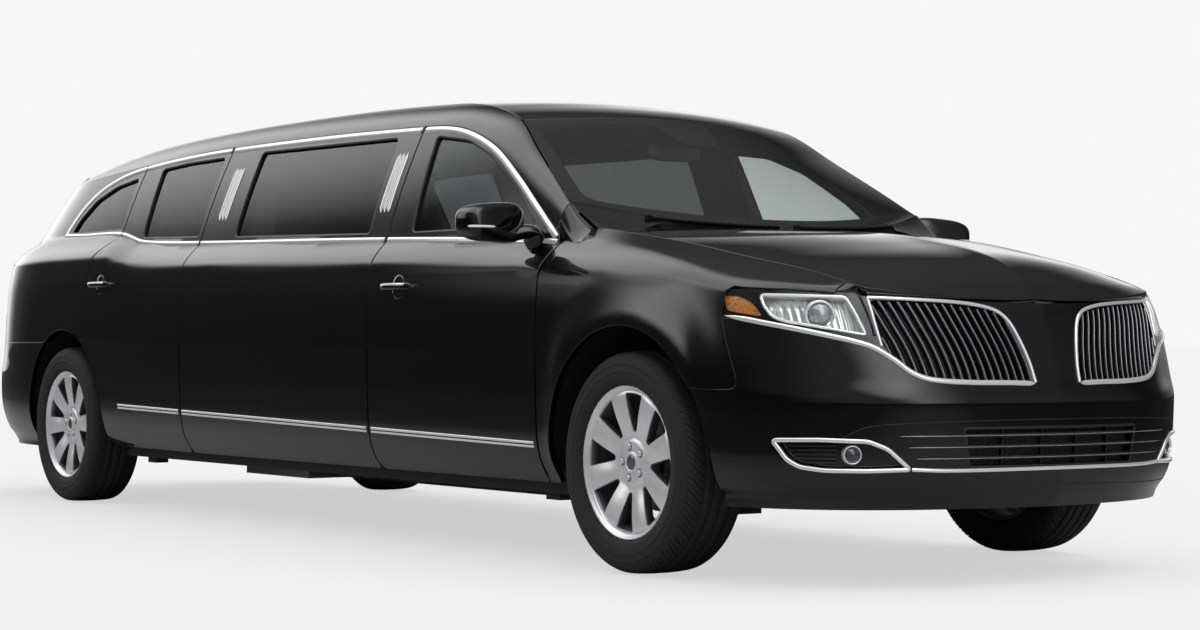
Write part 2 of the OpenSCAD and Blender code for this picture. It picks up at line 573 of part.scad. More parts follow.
// Left openings in Y and Z
module grille_outline()
    soft(20) polygon([[92, 642], [100, 700], [124, 780], [150, 834], [186, 864], [250, 880], [337, 889],
                      [504, 898], [604, 900], [597, 754], [572, 716], [523, 674], [466, 655], [341, 646]]);
module headlamp_outline()
    soft(12) polygon([[612, 786], [626, 926], [760, 938], [960, 940], [960, 846], [800, 806]]);
module intake_outline()
    soft(10) polygon([[-372, 500], [372, 500], [350, 378], [-350, 378]]);
module fog_outline()
    soft(8) polygon([[540, 374], [570, 402], [608, 438], [660, 461], [779, 466], [862, 464], [836, 404],
                     [811, 381], [759, 371], [662, 370]]);
module ahead() along_x(fx, fx + far) scale([wk, 1]) children();
module front_fascia() color("#15161a") difference() {
    nose_wall(skin_t, middle_out(NOSE_A), NOSE_Z);
    both() {
        ahead() offset(delta = seam) grille_outline();
        ahead() offset(delta = seam) headlamp_outline();
        ahead() offset(delta = seam) fog_outline();
        along_y(300, far) offset(delta = seam)
            polygon([[lamp_back_x, fascia_top], [fx - 100, fascia_top], [fx - 100, far], [lamp_back_x, far]]);
    }
    ahead() offset(delta = seam) intake_outline();
    translate([fx, -far, tyre_r]) rotate([-90, 0, 0]) cylinder(r = arch_r, h = 2 * far, $fn = 144);
    along_x(fx, fx + far) hood_room();
}
module hood_room()
    polygon(concat([for (s = CROSS) [s * (hood_front_y + shut_gap), hood_pt(s, 1, 0)[2] - shut_gap]],
                   [[-hood_front_y - shut_gap, far], [hood_front_y + shut_gap, far]]));
bar_w = 8;
bar_pitch = 30;
bars = 16;
first_bar_y = 112;
module grille() color("#c9ccd0") both() {
    intersection() {
        nose_wall(46, between(NOSE_A, 0, 54), between(NOSE_Z, 600, 936));
        ahead() difference() {
            grille_outline();
            offset(delta = -16) grille_outline();
        }
    }
    intersection() {
        nose_wall(40, between(NOSE_A, 0, 54), between(NOSE_Z, 600, 936));
        ahead() intersection() {
            offset(delta = -8) grille_outline();
            union() {
                for (k = [0 : bars - 1]) translate([first_bar_y + k * bar_pitch, 600]) square([bar_w, 320]);
            }
        }
    }
}
INTAKE_BARS = [407, 442, 477];
module lower_grille() color("#1d1e20") intersection() {
    nose_wall(40, middle_out(between(NOSE_A, 0, 36)), between(NOSE_Z, 300, 560));
    ahead() union() {
        difference() {
            intake_outline();
            offset(delta = -10) intake_outline();
        }
        intersection() {
            intake_outline();
            for (z = INTAKE_BARS) translate([-400, z - bar_w / 2]) square([800, bar_w]);
        }
    }
}
module headlamps() color("#dfe3e6") both() intersection() {
    nose_wall(110, between(NOSE_A, 20, 80), between(NOSE_Z, 750, 936));
    ahead() headlamp_outline();
    along_y(300, far)
        polygon([[lamp_back_x + seam, 600], [fx + far, 600], [fx + far, far], [lamp_back_x + seam, far]]);
}
module fog_lamps() color("#b9bdc1") both() intersection() {
    nose_wall(60, between(NOSE_A, 12, 80), between(NOSE_Z, 300, 470));
    ahead() fog_outline();
}

// Cowl between bonnet and windscreen, and the wipers on it
cowl_gap = 60;
cowl_end = 0.965;
function cowl_pt(s, t) =
    let (a = ditch(FRAME[len(FRAME) - 1], s), b = hood_pt(s, 0, 0))
    mix(a + [1.2, 0, -5.6], b + [-cowl_gap, 0, -10], t);
module cowl() color("#17181a") {
    slab([for (t = [0, 1]) [for (s = CROSS) cowl_pt(s * cowl_end, t)]],
         [for (t = [0, 1]) [for (s = CROSS) cowl_pt(s * cowl_end, t) - [0, 0, 30]]]);
    translate([fire_x, -400, bulkhead_top + 0.3]) cube([210, 800, 80]);
}
module rod(p, q, r) {
    d = q - p;
    translate(p) rotate([0, acos(d[2] / norm(d)), atan2(d[1], d[0])]) cylinder(r = r, h = norm(d));
}
// Wipers: pivot and blade tip, as shares of the half width of the cowl
WIPERS = [[-0.75 * cowl_end, -0.1], [0, 0.68]];
wiper_rise = 18;
module wipers() color("#0c0c0d") for (w = WIPERS) {
    a = cowl_pt(w[0], 0.4) + [0, 0, wiper_rise];
    translate(a - [0, 0, wiper_rise - 2.4]) cylinder(r = 4, h = wiper_rise);
    translate(a - [0, 0, 8]) cylinder(r = 12, h = 14);
    rod(a, cowl_pt(w[1], 0.4) + [0, 0, wiper_rise], 6);
}

// Floor, sills, bulkhead, towers and wheel houses
floor_z = 232;
floor_t = 28;
fire_x = fx - 470;
bulkhead_top = 1060;
rear_floor_z = tyre_r + 131;
tower_z = 800;
kick_x = rx + 430;
floor_end_x = rx - 1040;
house_y = hub_y - tyre_w / 2 - 69.5;
tower_y = kingpin_y - 145;
tower_r = 85;
// Inner and outer edge of the apron that carries the tower and the bonnet hinge
apron_in = min(tower_y - 40, hood_hinge_y - 30);
apron_out = max(tower_y + 120, hood_hinge_y + 30);
JACK_X = [fx - 700, rx + 600];
jack_y = rocker_y - 65;
jack_l = 90;
jack_w = 60;
jack_h = 27;
module floor_pan() color("#26282b") {
    translate([kick_x - 30, -rocker_y, floor_z]) cube([fire_x - kick_x + 60, 2 * rocker_y, floor_t]);
    translate([kick_x - 30, -house_y, floor_z]) cube([30, 2 * house_y, rear_floor_z - floor_z + floor_t]);
    translate([floor_end_x, -house_y, rear_floor_z]) cube([kick_x - floor_end_x, 2 * house_y, floor_t]);
    translate([fire_x, 80 - rocker_y, floor_z]) cube([30, 2 * rocker_y - 160, bulkhead_top - floor_z]);
    both() {
        translate([kick_x, rocker_y - 130, floor_z]) cube([door_front_x - kick_x - 20, 130, 120]);
        for (x = [door_front_x, back_door_front_x])
            translate([x - hinge_back - 30, rocker_y - 70, floor_z]) cube([90, 70, 800]);
        door_pins(door_front_x);
        door_pins(back_door_front_x);
        translate([fire_x, apron_in, 860]) cube([fx - fire_x, apron_out - apron_in, 120]);
        translate([fx, tower_y, tower_z]) cylinder(r = tower_r, h = 1070 - tower_z);
        for (s = [-1, 1]) translate([hood_hinge_x - 10, hood_hinge_y - 6 + s * hood_barrel, 970])
            cube([20, 12, hood_hinge_z + 9 - 970]);
        hood_rod(52, pin_r);
        translate([rx - 330, house_y - 20, rear_floor_z]) cube([660, 20, 400]);
        for (x = JACK_X) translate([x - jack_l / 2, jack_y - jack_w / 2, floor_z - jack_h])
            cube([jack_l, jack_w, jack_h + 1]);
    }
}
module engine_block() color("#4a4d50") translate([fx - 240, -380, 300]) cube([640, 760, 620]);
arm_z = 200;
module front_subframe() color("#202224") {
    for (x = [fx - 260, fx + 170]) translate([x, -440, 262]) cube([80, 880, 38]);
    both() {
        translate([fx - 300, 380, 230]) cube([600, 60, 70]);
        translate([fx - 35, 400, arm_z - 16]) cube([70, kingpin_y - 400, 32]);
        translate([fx, kingpin_y, arm_z - 16]) cylinder(r = 30, h = 32);
        translate([fx - 35, 400, arm_z - 16]) cube([70, 40, 60]);
    }
}
module rear_axle() color("#202224") {
    translate([rx, 0, tyre_r]) rotate([-90, 0, 0]) translate([0, 0, -560]) cylinder(r = 45, h = 1120);
    both() {
        translate([rx - 70, 520, tyre_r - 90]) cube([140, 60, 180]);
        translate([rx, 570, tyre_r]) rotate([-90, 0, 0]) cylinder(r = 60, h = hub_y - 90 - 570);
        translate([rx - 30, 525, tyre_r]) cube([60, 50, rear_floor_z - tyre_r]);
    }
}
module exhaust() color("#55585b") {
    translate([rx + 500, -200, 190]) rotate([0, 90, 0]) cylinder(r = 32, h = fx - rx - 900);
    translate([rx + 700, -330, 150]) cube([620, 260, 82]);
}

// Front knuckle with its strut; it steers about the kingpin
knuckle_y = hub_y - 90;
module knuckle_part() color("#3b3d40") {
    translate([fx, kingpin_y, arm_z + 16.3]) cylinder(r = 26, h = 60);
    translate([fx - 30, kingpin_y - 60, arm_z + 40]) cube([60, knuckle_y - kingpin_y + 60, 260]);
    translate([fx, kingpin_y - 60, tyre_r]) rotate([-90, 0, 0])
        cylinder(r = 58, h = knuckle_y - kingpin_y + 60);
    translate([fx - 28, kingpin_y - 85, tyre_r + 60]) cube([56, 40, 60]);
    translate([fx, kingpin_y - 85, tyre_r + 60]) cylinder(r = 28, h = tower_z - 0.3 - tyre_r - 60);
}
module knuckle_left() knuckle_part();
module knuckle_right() mirror([0, 1, 0]) knuckle_part();

// Wheel: tyre, rim and hub with its disc, built at the origin with the face outboard
rim_w = 216;
module wheel_at(x, s)
    translate([x, s * hub_y, tyre_r]) mirror([0, s < 0 ? 1 : 0, 0]) rotate([-90, 0, 0]) children();
// Half section of a tyre: rise over the bead seat, step in from the sidewall
sidewall = tyre_r - rim_r;
TYRE = [[0, 20], [10, 6], [45, 0], [80, 4], [sidewall - 8, 20], [sidewall, 40]];
module tyre_part() color("#17181a") rotate_extrude($fn = 64) translate([rim_r, -tyre_w / 2])
    polygon(concat(TYRE, [for (k = [len(TYRE) - 1 : -1 : 0]) [TYRE[k][0], tyre_w - TYRE[k][1]]]));
module rim_part() color("#c4c7ca") {
    rotate_extrude($fn = 64)
        polygon([[rim_r - 14, -rim_w / 2], [rim_r - 0.2, -rim_w / 2], [rim_r - 0.2, rim_w / 2 - 4],
                 [rim_r - 14, rim_w / 2 - 4]]);
    difference() {
        rotate_extrude($fn = 64)
            polygon([[0, 62], [78, 62], [rim_r - 10, 78], [rim_r - 10, 100], [150, 96], [78, 84], [0, 88]]);
        for (k = [0 : spokes - 1]) rotate([0, 0, 360 * (k + 0.5) / spokes]) translate([0, 0, 40])
            linear_extrude(80)
                soft(6) polygon([[100, -8], [rim_r - 24, -51], [rim_r - 18, 0], [rim_r - 24, 51], [100, 8]]);
    }
    translate([0, 0, 20]) cylinder(r = 70, h = 50);
}
module hub_part() color("#6a6d70") {
    translate([0, 0, -89.9]) cylinder(r = 62, h = 109.8);
    translate([0, 0, -44]) cylinder(r = 165, h = 26);
}
module tyre_fl() wheel_at(fx, 1) tyre_part();
module tyre_fr() wheel_at(fx, -1) tyre_part();
module tyre_rl() wheel_at(rx, 1) tyre_part();
module tyre_rr() wheel_at(rx, -1) tyre_part();
module rim_fl() wheel_at(fx, 1) rim_part();
module rim_fr() wheel_at(fx, -1) rim_part();
module rim_rl() wheel_at(rx, 1) rim_part();
module rim_rr() wheel_at(rx, -1) rim_part();
module hub_fl() wheel_at(fx, 1) hub_part();
module hub_fr() wheel_at(fx, -1) hub_part();
module hub_rl() wheel_at(rx, 1) hub_part();
module hub_rr() wheel_at(rx, -1) hub_part();

// Cabin: dashboard, steering wheel, seats
driver_y = -380 * wk;
wheel_tilt = 65;
dash_x = fx - 520;
module dashboard() color("#232426") {
    along_y(100 - rocker_y, rocker_y - 100)
        polygon([[fire_x, 700], [fire_x, bulkhead_top - 1], [dash_x - 120, 1080], [dash_x - 260, 1010],
                 [dash_x - 220, 800], [dash_x - 120, 700]]);
    translate([dash_x - 200, driver_y, 960]) rotate([0, -wheel_tilt, 0]) cylinder(r = 26, h = 119.7);
}
module steering_wheel() color("#1a1a1b")
    translate([dash_x - 200, driver_y, 960]) rotate([0, -wheel_tilt, 0]) translate([0, 0, 120]) {
        cylinder(r = 60, h = 40);
        translate([0, 0, 30]) rotate_extrude() translate([178, 0]) circle(r = 14);
        for (a = [0, 180, 270]) rotate([0, 0, a]) translate([40, -14, 20]) cube([140, 28, 12]);
    }
module seat_profile() soft(30) polygon([[0, 0], [0, 170], [-420, 150], [-560, 640], [-690, 640], [-560, 0]]);
module front_seats() color("#2a2827") for (y = [driver_y, -driver_y]) {
    translate([fx - 1080, 0, floor_z + floor_t + 120]) along_y(y - 250, y + 250) seat_profile();
    translate([fx - 1700, 0, floor_z + floor_t + 120]) along_y(y - 110, y + 110)
        soft(30) polygon([[-60, 610], [50, 610], [20, 850], [-80, 850]]);
    translate([fx - 1600, y - 200, floor_z + floor_t]) cube([480, 400, 140]);
}
bench_y = rocker_y - 131;
module rear_seats() color("#2a2827") {
    translate([rx + 640, 0, rear_floor_z + floor_t + 0.3]) along_y(-590, 590) seat_profile();
    translate([kick_x + 1, -560, floor_z + floor_t]) cube([180, 1120, rear_floor_z - floor_z + 20]);
    translate([rx + 1500, bench_y - 430, floor_z + floor_t]) cube([1200, 430, 320]);
    translate([rx + 1500, bench_y - 70, floor_z + floor_t + 300]) cube([1200, 100, 420]);
}

floor_pan();
engine_block();
front_subframe();
rear_axle();
exhaust();
front_fascia();
grille();
lower_grille();
headlamps();
fog_lamps();
front_fenders();
stretch_panels();
rear_quarters();
cant_rails();
roof_panel();
windscreen();
side_glass();
cowl();
wipers();
rear_bumper();
tail_lamps();
dashboard();
front_seats();
rear_seats();
hood();
tailgate();
tailgate_glass();
door_front_left();
door_front_right();
door_rear_left();
door_rear_right();
glass_front_left();
glass_front_right();
glass_rear_left();
glass_rear_right();
mirror_left();
mirror_right();
steering_wheel();
tyre_fl();
tyre_fr();
tyre_rl();
tyre_rr();
rim_fl();
rim_fr();
rim_rl();
rim_rr();
hub_fl();
hub_fr();
hub_rl();
hub_rr();
knuckle_left();
knuckle_right();
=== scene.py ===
import math

import bpy
import numpy as np
from mathutils import Matrix
from mathutils.geometry import delaunay_2d_cdt


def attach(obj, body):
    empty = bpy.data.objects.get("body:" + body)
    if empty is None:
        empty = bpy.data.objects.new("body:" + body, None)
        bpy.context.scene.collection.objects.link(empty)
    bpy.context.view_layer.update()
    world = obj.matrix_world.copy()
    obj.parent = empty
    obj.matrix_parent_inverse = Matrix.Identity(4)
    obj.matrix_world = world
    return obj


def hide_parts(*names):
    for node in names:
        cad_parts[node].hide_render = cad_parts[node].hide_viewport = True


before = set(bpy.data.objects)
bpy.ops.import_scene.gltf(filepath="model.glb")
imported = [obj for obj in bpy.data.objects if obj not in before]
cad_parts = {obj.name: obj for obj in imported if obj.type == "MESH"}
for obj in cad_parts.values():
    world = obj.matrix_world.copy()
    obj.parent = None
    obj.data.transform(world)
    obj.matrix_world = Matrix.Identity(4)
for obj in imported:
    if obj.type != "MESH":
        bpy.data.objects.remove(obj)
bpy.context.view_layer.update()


# The studio: a white background over a grey floor, lit by a plain dome and one soft lamp overhead.
# Gloss surfaces mirror a darker room instead: light boxes along both sides, a card beside the front wheel,
# pale haze behind the car and a floor with a painted pool of light near it.
class Wire:
    """A socket of a material. Operators add Math nodes; node() adds any other node."""

    def __init__(self, tree, socket=None):
        self.tree, self.socket = tree, socket

    def node(self, kind, settings=None, sockets=None, take=0):
        """Adds a node: its settings first, then the values or wires of its sockets."""
        made = self.tree.nodes.new(kind)
        for key, value in (settings or {}).items():
            if key == "stops":
                ramp = made.color_ramp
                while len(ramp.elements) < len(value):
                    ramp.elements.new(0.5)
                for stop, (place, grey) in zip(ramp.elements, value):
                    stop.position = place
                    stop.color = rgba(grey)
            else:
                setattr(made, key, value)
        for key, value in (sockets or {}).items():
            if isinstance(value, Wire):
                self.tree.links.new(value.socket, made.inputs[key])
            else:
                made.inputs[key].default_value = value
        return Wire(self.tree, made.outputs[take])

    def into(self, shader, socket):
        """Links this socket into one of a shader's."""
        self.tree.links.new(self.socket, shader.inputs[socket])

    def _sum(self, operation, a, b):
        return self.node("ShaderNodeMath", {"operation": operation}, {0: a, 1: b})

    def __add__(self, other):
        return self._sum("ADD", self, other)

    def __sub__(self, other):
        return self._sum("SUBTRACT", self, other)

    def __rsub__(self, other):
        return self._sum("SUBTRACT", other, self)

    def __mul__(self, other):
        return self._sum("MULTIPLY", self, other)

    def __pow__(self, other):
        return self._sum("POWER", self, other)


def rgba(colour):
    """A grey or a colour with full alpha."""
    return (*(colour if isinstance(colour, tuple) else (colour,) * 3), 1)


def output(wire, name):
    """Another output of a wire's node."""
    return Wire(wire.tree, wire.socket.node.outputs[name])


def larger(a, b):
    """The larger of two values."""
    return a.node("ShaderNodeMath", {"operation": "MAXIMUM"}, {0: a, 1: b})


def fade(value, start, end, low=0.0, high=1.0, kind="LINEAR"):
    """A value mapped from start..end to low..high, level beyond both."""
    sockets = {0: value, 1: start, 2: end, 3: low, 4: high}
    return value.node("ShaderNodeMapRange", {"interpolation_type": kind}, sockets)


def ramp(value, *stops):
    """A colour that runs through the stops, each a place and a grey."""
    return value.node("ShaderNodeValToRGB", {"stops": stops}, {0: value})


def blend(share, low, high):
    """A colour between low, at share 0, and high, at share 1."""
    low, high = (c if isinstance(c, Wire) else rgba(c) for c in (low, high))
    return share.node("ShaderNodeMix", {"data_type": "RGBA"}, {0: share, 6: low, 7: high}, 2)


def place(w):
    """The spot on the object, in its own coordinates."""
    return w.node("ShaderNodeTexCoord", take=3)


def pattern(w, kind, scale, settings=None, **sockets):
    """A texture over the object: Noise, Voronoi or Wave."""
    return w.node("ShaderNodeTex" + kind, settings, {"Vector": place(w), "Scale": scale, **sockets})


def bump(height, shader, strength, distance):
    """Raises the surface of a shader by a height."""
    sockets = {"Strength": strength, "Distance": distance, "Height": height}
    height.node("ShaderNodeBump", None, sockets).into(shader, "Normal")


def finish(name, **constants):
    """A new material: a Principled shader with its constants on its own sockets."""
    material = bpy.data.materials.new(name)
    material.use_nodes = True
    shader = material.node_tree.nodes["Principled BSDF"]
    for key, value in constants.items():
        shader.inputs[key.replace("_", " ")].default_value = value
    return material, shader, Wire(material.node_tree)


BACKGROUND = 0.93
SOFT = "SMOOTHSTEP"
world = bpy.data.worlds.new("studio_room")
bpy.context.scene.world = world
world.use_nodes = True
room = Wire(world.node_tree)
ray = room.node("ShaderNodeLightPath")


def has_turned(kind):
    """1 for a ray that has left a surface in this way before, and 0 for any other."""
    return room.node("ShaderNodeMath", {"operation": "MINIMUM"}, {0: output(ray, kind + " Depth"), 1: 1.0})


glossy_turn, diffuse_turn = has_turned("Glossy"), has_turned("Diffuse")
through_glass = output(ray, "Is Transmission Ray") * (1.0 - glossy_turn) * (1.0 - diffuse_turn)
seen = larger(ray, through_glass)
mirrored = larger(output(ray, "Is Glossy Ray"), glossy_turn)
way = room.node("ShaderNodeSeparateXYZ", None, {0: room.node("ShaderNodeTexCoord")})
ahead_way, left_way, up_way = (output(way, axis) for axis in "XYZ")
dome = ramp(up_way * 0.5 + 0.5, (0.0, 0.30), (0.50, 0.45), (0.60, 0.60), (0.72, 0.85), (0.86, 1.1),
            (1.0, 1.2))


def box_light(start, end, power, hand):
    """A long light over one side of the car. Its slope is the sine of the angle past a plane that leans by
    52 degrees: dark below start, full above end, and gone beyond the zenith."""
    slope = up_way * 0.616 - left_way * (0.788 * hand)
    return fade(slope, start, end, 0.0, power, SOFT) * fade(left_way * hand, -0.35, 0.05, kind=SOFT)


behind = fade(left_way * 0.564 - ahead_way * 0.825, 0.60, 0.90)
haze = ramp(up_way, (0.0, 0.12), (0.08, 0.22), (0.14, 0.75), (0.20, 0.85), (0.32, 0.35), (0.5, 0.02))
before = fade(ahead_way, 0.2, 0.9, 0.0, 0.30)
past_screen = fade(ahead_way, -0.25, 0.10)
ceiling = fade(up_way, 0.5, 0.85, 0.0, 0.22)
wheel_card = (fade(up_way, 0.06, 0.20, kind=SOFT) * fade(ahead_way, -0.87, -0.77, 0.0, 2.2, SOFT)
              * fade(ahead_way, -0.62, -0.38, 1.0, 0.05, SOFT) * fade(left_way, -0.40, -0.60))
mirrored_room = (behind * haze * 1.35 + before + ceiling + box_light(-0.14, 0.10, 1.8, -1)
                 + box_light(0.20, 0.45, 1.6, 1) * past_screen + 0.02 + wheel_card)
light = blend(mirrored, dome, mirrored_room)
blend(seen, light, BACKGROUND).into(world.node_tree.nodes["Background"], "Color")

pale_floor, shader, w = finish("pale_floor", Roughness=0.9, Specular_IOR_Level=0.0, Emission_Strength=1.0)
ray = w.node("ShaderNodeLightPath")
shown = larger(ray, output(ray, "Is Transmission Ray"))
spot = w.node("ShaderNodeSeparateXYZ", None, {0: place(w)})
reach = (output(spot, "X") ** 2.0 * 0.06 + output(spot, "Y") ** 2.0) ** 0.5
# Seen by glossy rays, the floor carries a painted pool of light: pale near the car and dark further out.
painted_pool_near_car = ramp(reach * 0.1, (0.0, 0.34), (0.16, 0.28), (0.34, 0.06), (0.7, 0.02))
blend(output(ray, "Is Glossy Ray"), blend(shown, 0.70, 0.24), painted_pool_near_car).into(shader, "Base Color")
blend(shown, 0.0, 0.60).into(shader, "Emission Color")
FLOOR_REACH, FLOOR_Z = 400, -0.001
floor_corners = [(x * FLOOR_REACH, y * FLOOR_REACH, FLOOR_Z) for x, y in ((-1, -1), (1, -1), (1, 1), (-1, 1))]
floor_mesh = bpy.data.meshes.new("floor")
floor_mesh.from_pydata(floor_corners, [], [(0, 1, 2, 3)])
floor_mesh.materials.append(pale_floor)
floor = bpy.data.objects.new("floor", floor_mesh)
bpy.context.scene.collection.objects.link(floor)

lamp_data = bpy.data.lights.new("overhead_light", "SUN")
lamp_data.energy = 0.9
lamp_data.angle = math.radians(50)
lamp = bpy.data.objects.new("overhead_light", lamp_data)
lamp.visible_glossy = False
lamp.rotation_euler = (math.radians(-24), math.radians(20), 0)
bpy.context.scene.collection.objects.link(lamp)

# The camera: it stands low in front of the right headlamp, a little below the belt line.
# Its focal length is in pixels of the photograph's width, and its angles are in degrees.
FOCAL_PX, PHOTO_WIDTH_PX, SENSOR = 2587.1, 1200, 36
CAMERA_PLACE, CAMERA_TURN = (9.414, -5.826, 0.769), (145.63, 0.58, 0.06)
camera_data = bpy.data.cameras.new("camera")
camera_data.sensor_width = SENSOR
camera_data.lens = FOCAL_PX / PHOTO_WIDTH_PX * SENSOR
camera_data.clip_end = 2000
camera = bpy.data.objects.new("camera", camera_data)
bpy.context.scene.collection.objects.link(camera)
bpy.context.scene.camera = camera
yaw, pitch, roll = np.radians(CAMERA_TURN)
ahead = np.array([math.cos(pitch) * math.cos(yaw), math.cos(pitch) * math.sin(yaw), math.sin(pitch)])
right = np.cross(ahead, [0, 0, 1])
right /= np.linalg.norm(right)
over = np.cross(right, ahead)
right, over = right * math.cos(roll) + over * math.sin(roll), over * math.cos(roll) - right * math.sin(roll)
camera.matrix_world = Matrix([*np.c_[right, over, -ahead, CAMERA_PLACE].tolist(), (0, 0, 0, 1)])
bpy.context.scene.view_settings.view_transform = "Standard"


# Body sides: pressed steel skins in gloss black with vinyl cards inside, hung on the wall behind them.
# All of them lie on one surface, so that the light runs on from door to door.
# FX and RX are the axles; x runs forward from the middle of the car.
FX, RX = 2.420, -2.260
HALF_W, SILL = 0.965, 0.280


def line_through(rows):
    """Value at x of a smooth line through the rows (x, value): a cubic between two rows, whose slope at a
    row is that between its neighbours, level beyond the ends."""
    xs, vs = np.array(rows, float).T
    k = np.arange(len(xs))
    a, b = np.maximum(k - 1, 0), np.minimum(k + 1, len(xs) - 1)
    lean = (vs[b] - vs[a]) / (xs[b] - xs[a])

    def value(x):
        x = np.clip(x, xs[0], xs[-1])
        k = np.clip(np.searchsorted(xs, x, side="right") - 1, 0, len(xs) - 2)
        width = xs[k + 1] - xs[k]
        u = (x - xs[k]) / width
        s = u * u * (3 - 2 * u)
        bend = lean[k] * u * (1 - u) ** 2 - lean[k + 1] * u * u * (1 - u)
        return vs[k] * (1 - s) + vs[k + 1] * s + width * bend
    return value


def mix(a, b, t):
    """The value t of the way from a to b."""
    return a + (b - a) * t


nose = line_through([(.24, 1.005), (.30, 1.036), (.38, 1.052), (.56, 1.060), (.60, 1.058), (.65, 1.040),
                     (.75, 1.010), (.86, .972), (.93, .935), (1.0, .905), (1.1, .900)])
tail = line_through([(.25, 1.120), (.33, 1.178), (.48, 1.220), (.60, 1.213), (.68, 1.165), (.77, 1.140),
                     (.90, 1.120), (1.06, 1.085), (1.16, 1.035), (1.24, .985), (1.40, .800), (1.60, .545),
                     (1.64, .497), (1.70, .430)])
belt = line_through([(RX - 1.22, 1.235), (RX - .70, 1.262), (RX + .06, 1.266), (RX + .43, 1.258),
                     (RX + .70, 1.214), (RX + 1.30, 1.190), (FX - 1.65, 1.150), (FX - .52, 1.108),
                     (FX - .10, 1.078), (FX + .20, 1.028), (FX + .47, .956), (FX + .76, .934),
                     (FX + 1.06, .870)])
section = line_through([(0, .075), (.05, .042), (.12, .019), (.19, .009), (.27, .006), (.5, 0), (.75, .004),
                        (.88, .014)])
upper = line_through([(.85, .955), (1.0, .922), (1.1, .893), (1.15, .878), (1.3, .830), (1.45, .772),
                      (1.605, .703), (1.7, .655)])
plan = line_through([(RX - 1.22, .025), (RX - .5, .008), (RX + .3, 0), (FX - 1.5, 0), (FX - .7, .006),
                     (FX, .008), (FX + 1.06, .008)])
upper_plan = line_through([(RX - .9, .040), (RX - .2, .010), (RX + .6, 0), (FX - 1.7, 0), (FX - 1.1, .012),
                           (FX - .5, .040), (FX + .2, .020), (FX + .76, .010)])
NOSE_P, NOSE_Q, TAIL_P, TAIL_Q = 3.6, 2.3, 5, 6


def wall_y(x, z):
    """Half width of the straight body at x, z: the door section up to the belt, drawn in over its last
    eighth to meet the upper side, then the upper side."""
    b = belt(x)
    v = np.maximum(0, (z - SILL) / (b - SILL))
    t = np.clip((v - .88) / .12, 0, 1)
    low = mix(HALF_W - plan(x) - section(v), upper(b) - upper_plan(x), t ** 1.5)
    return np.where(z <= b, low, upper(z) - upper_plan(x))


def end_share(x, z):
    """How much of the half width is left at x, where the body closes on a superellipse at nose and tail."""
    g = np.clip((x - FX) / nose(z), 0, 1)
    h = np.clip((RX - x) / tail(z), 0, 1)
    return (1 - g ** NOSE_P) ** (1 / NOSE_Q) * (1 - h ** TAIL_P) ** (1 / TAIL_Q)


def side(x, z):
    """Left side of the body: the half width over x and z."""
    return np.stack([x, wall_y(x, z) * end_share(x, z), z], -1)


def dense(loop, step):
    """A closed outline with points no further apart than step."""
    loop = np.asarray(loop, float)
    onward = np.roll(loop, -1, 0)
    n = np.maximum(1, np.ceil(np.linalg.norm(onward - loop, axis=1) / step).astype(int))
    k = np.repeat(np.arange(len(loop)), n)
    f = ((np.arange(n.sum()) - np.repeat(np.cumsum(n) - n, n)) / np.repeat(n, n))[:, None]
    return loop[k] * (1 - f) + onward[k] * f


def rounded(corners, radius, points=7):
    """A closed outline whose corners are turned on a parabola that leaves each leg at most radius from the
    corner."""
    c = np.asarray(corners, float)
    back, on = np.roll(c, 1, 0) - c, np.roll(c, -1, 0) - c
    lb, lo = np.linalg.norm(back, axis=1), np.linalg.norm(on, axis=1)
    cut = np.minimum(np.asarray(radius) * np.ones(len(c)), .49 * np.minimum(lb, lo))[:, None]
    a, b = c + back / lb[:, None] * cut, c + on / lo[:, None] * cut
    t = np.linspace(0, 1, points)[None, :, None]
    return (a[:, None] * (1 - t) ** 2 + c[:, None] * 2 * t * (1 - t) + b[:, None] * t ** 2).reshape(-1, 2)


def within(points, loop):
    """Which points lie inside a closed outline: those with an odd number of its legs to their right."""
    a, b = loop, np.roll(loop, -1, 0)
    x, y = points[:, :1], points[:, 1:]
    over = (a[:, 1] > y) != (b[:, 1] > y)
    rise = np.where(b[:, 1] == a[:, 1], 1, b[:, 1] - a[:, 1])
    cross = a[:, 0] + (y - a[:, 1]) * (b[:, 0] - a[:, 0]) / rise
    return np.sum(over & (x < cross), 1) % 2 == 1


def clear_of(points, loop):
    """Distance from each point to the nearest leg of a closed outline."""
    a, leg = loop, np.roll(loop, -1, 0) - loop
    d = points[:, None] - a
    t = np.clip((d * leg).sum(-1) / np.maximum((leg ** 2).sum(-1), 1e-12), 0, 1)
    return np.linalg.norm(d - leg * t[..., None], axis=-1).min(1)


def area(loop):
    """Area of a closed outline, positive where it runs against the clock."""
    return (loop[:, 0] * np.roll(loop[:, 1], -1) - np.roll(loop[:, 0], -1) * loop[:, 1]).sum() / 2


def unit(v):
    """Vectors brought to length 1."""
    return v / np.maximum(np.linalg.norm(v, axis=-1, keepdims=True), 1e-12)


def slopes(surface, u, v, e=5e-4):
    """How a surface runs along u and along v, from points a small step e to each side."""
    along_u = (surface(u + e, v) - surface(u - e, v)) / (2 * e)
    along_v = (surface(u, v + e) - surface(u, v - e)) / (2 * e)
    return along_u, along_v


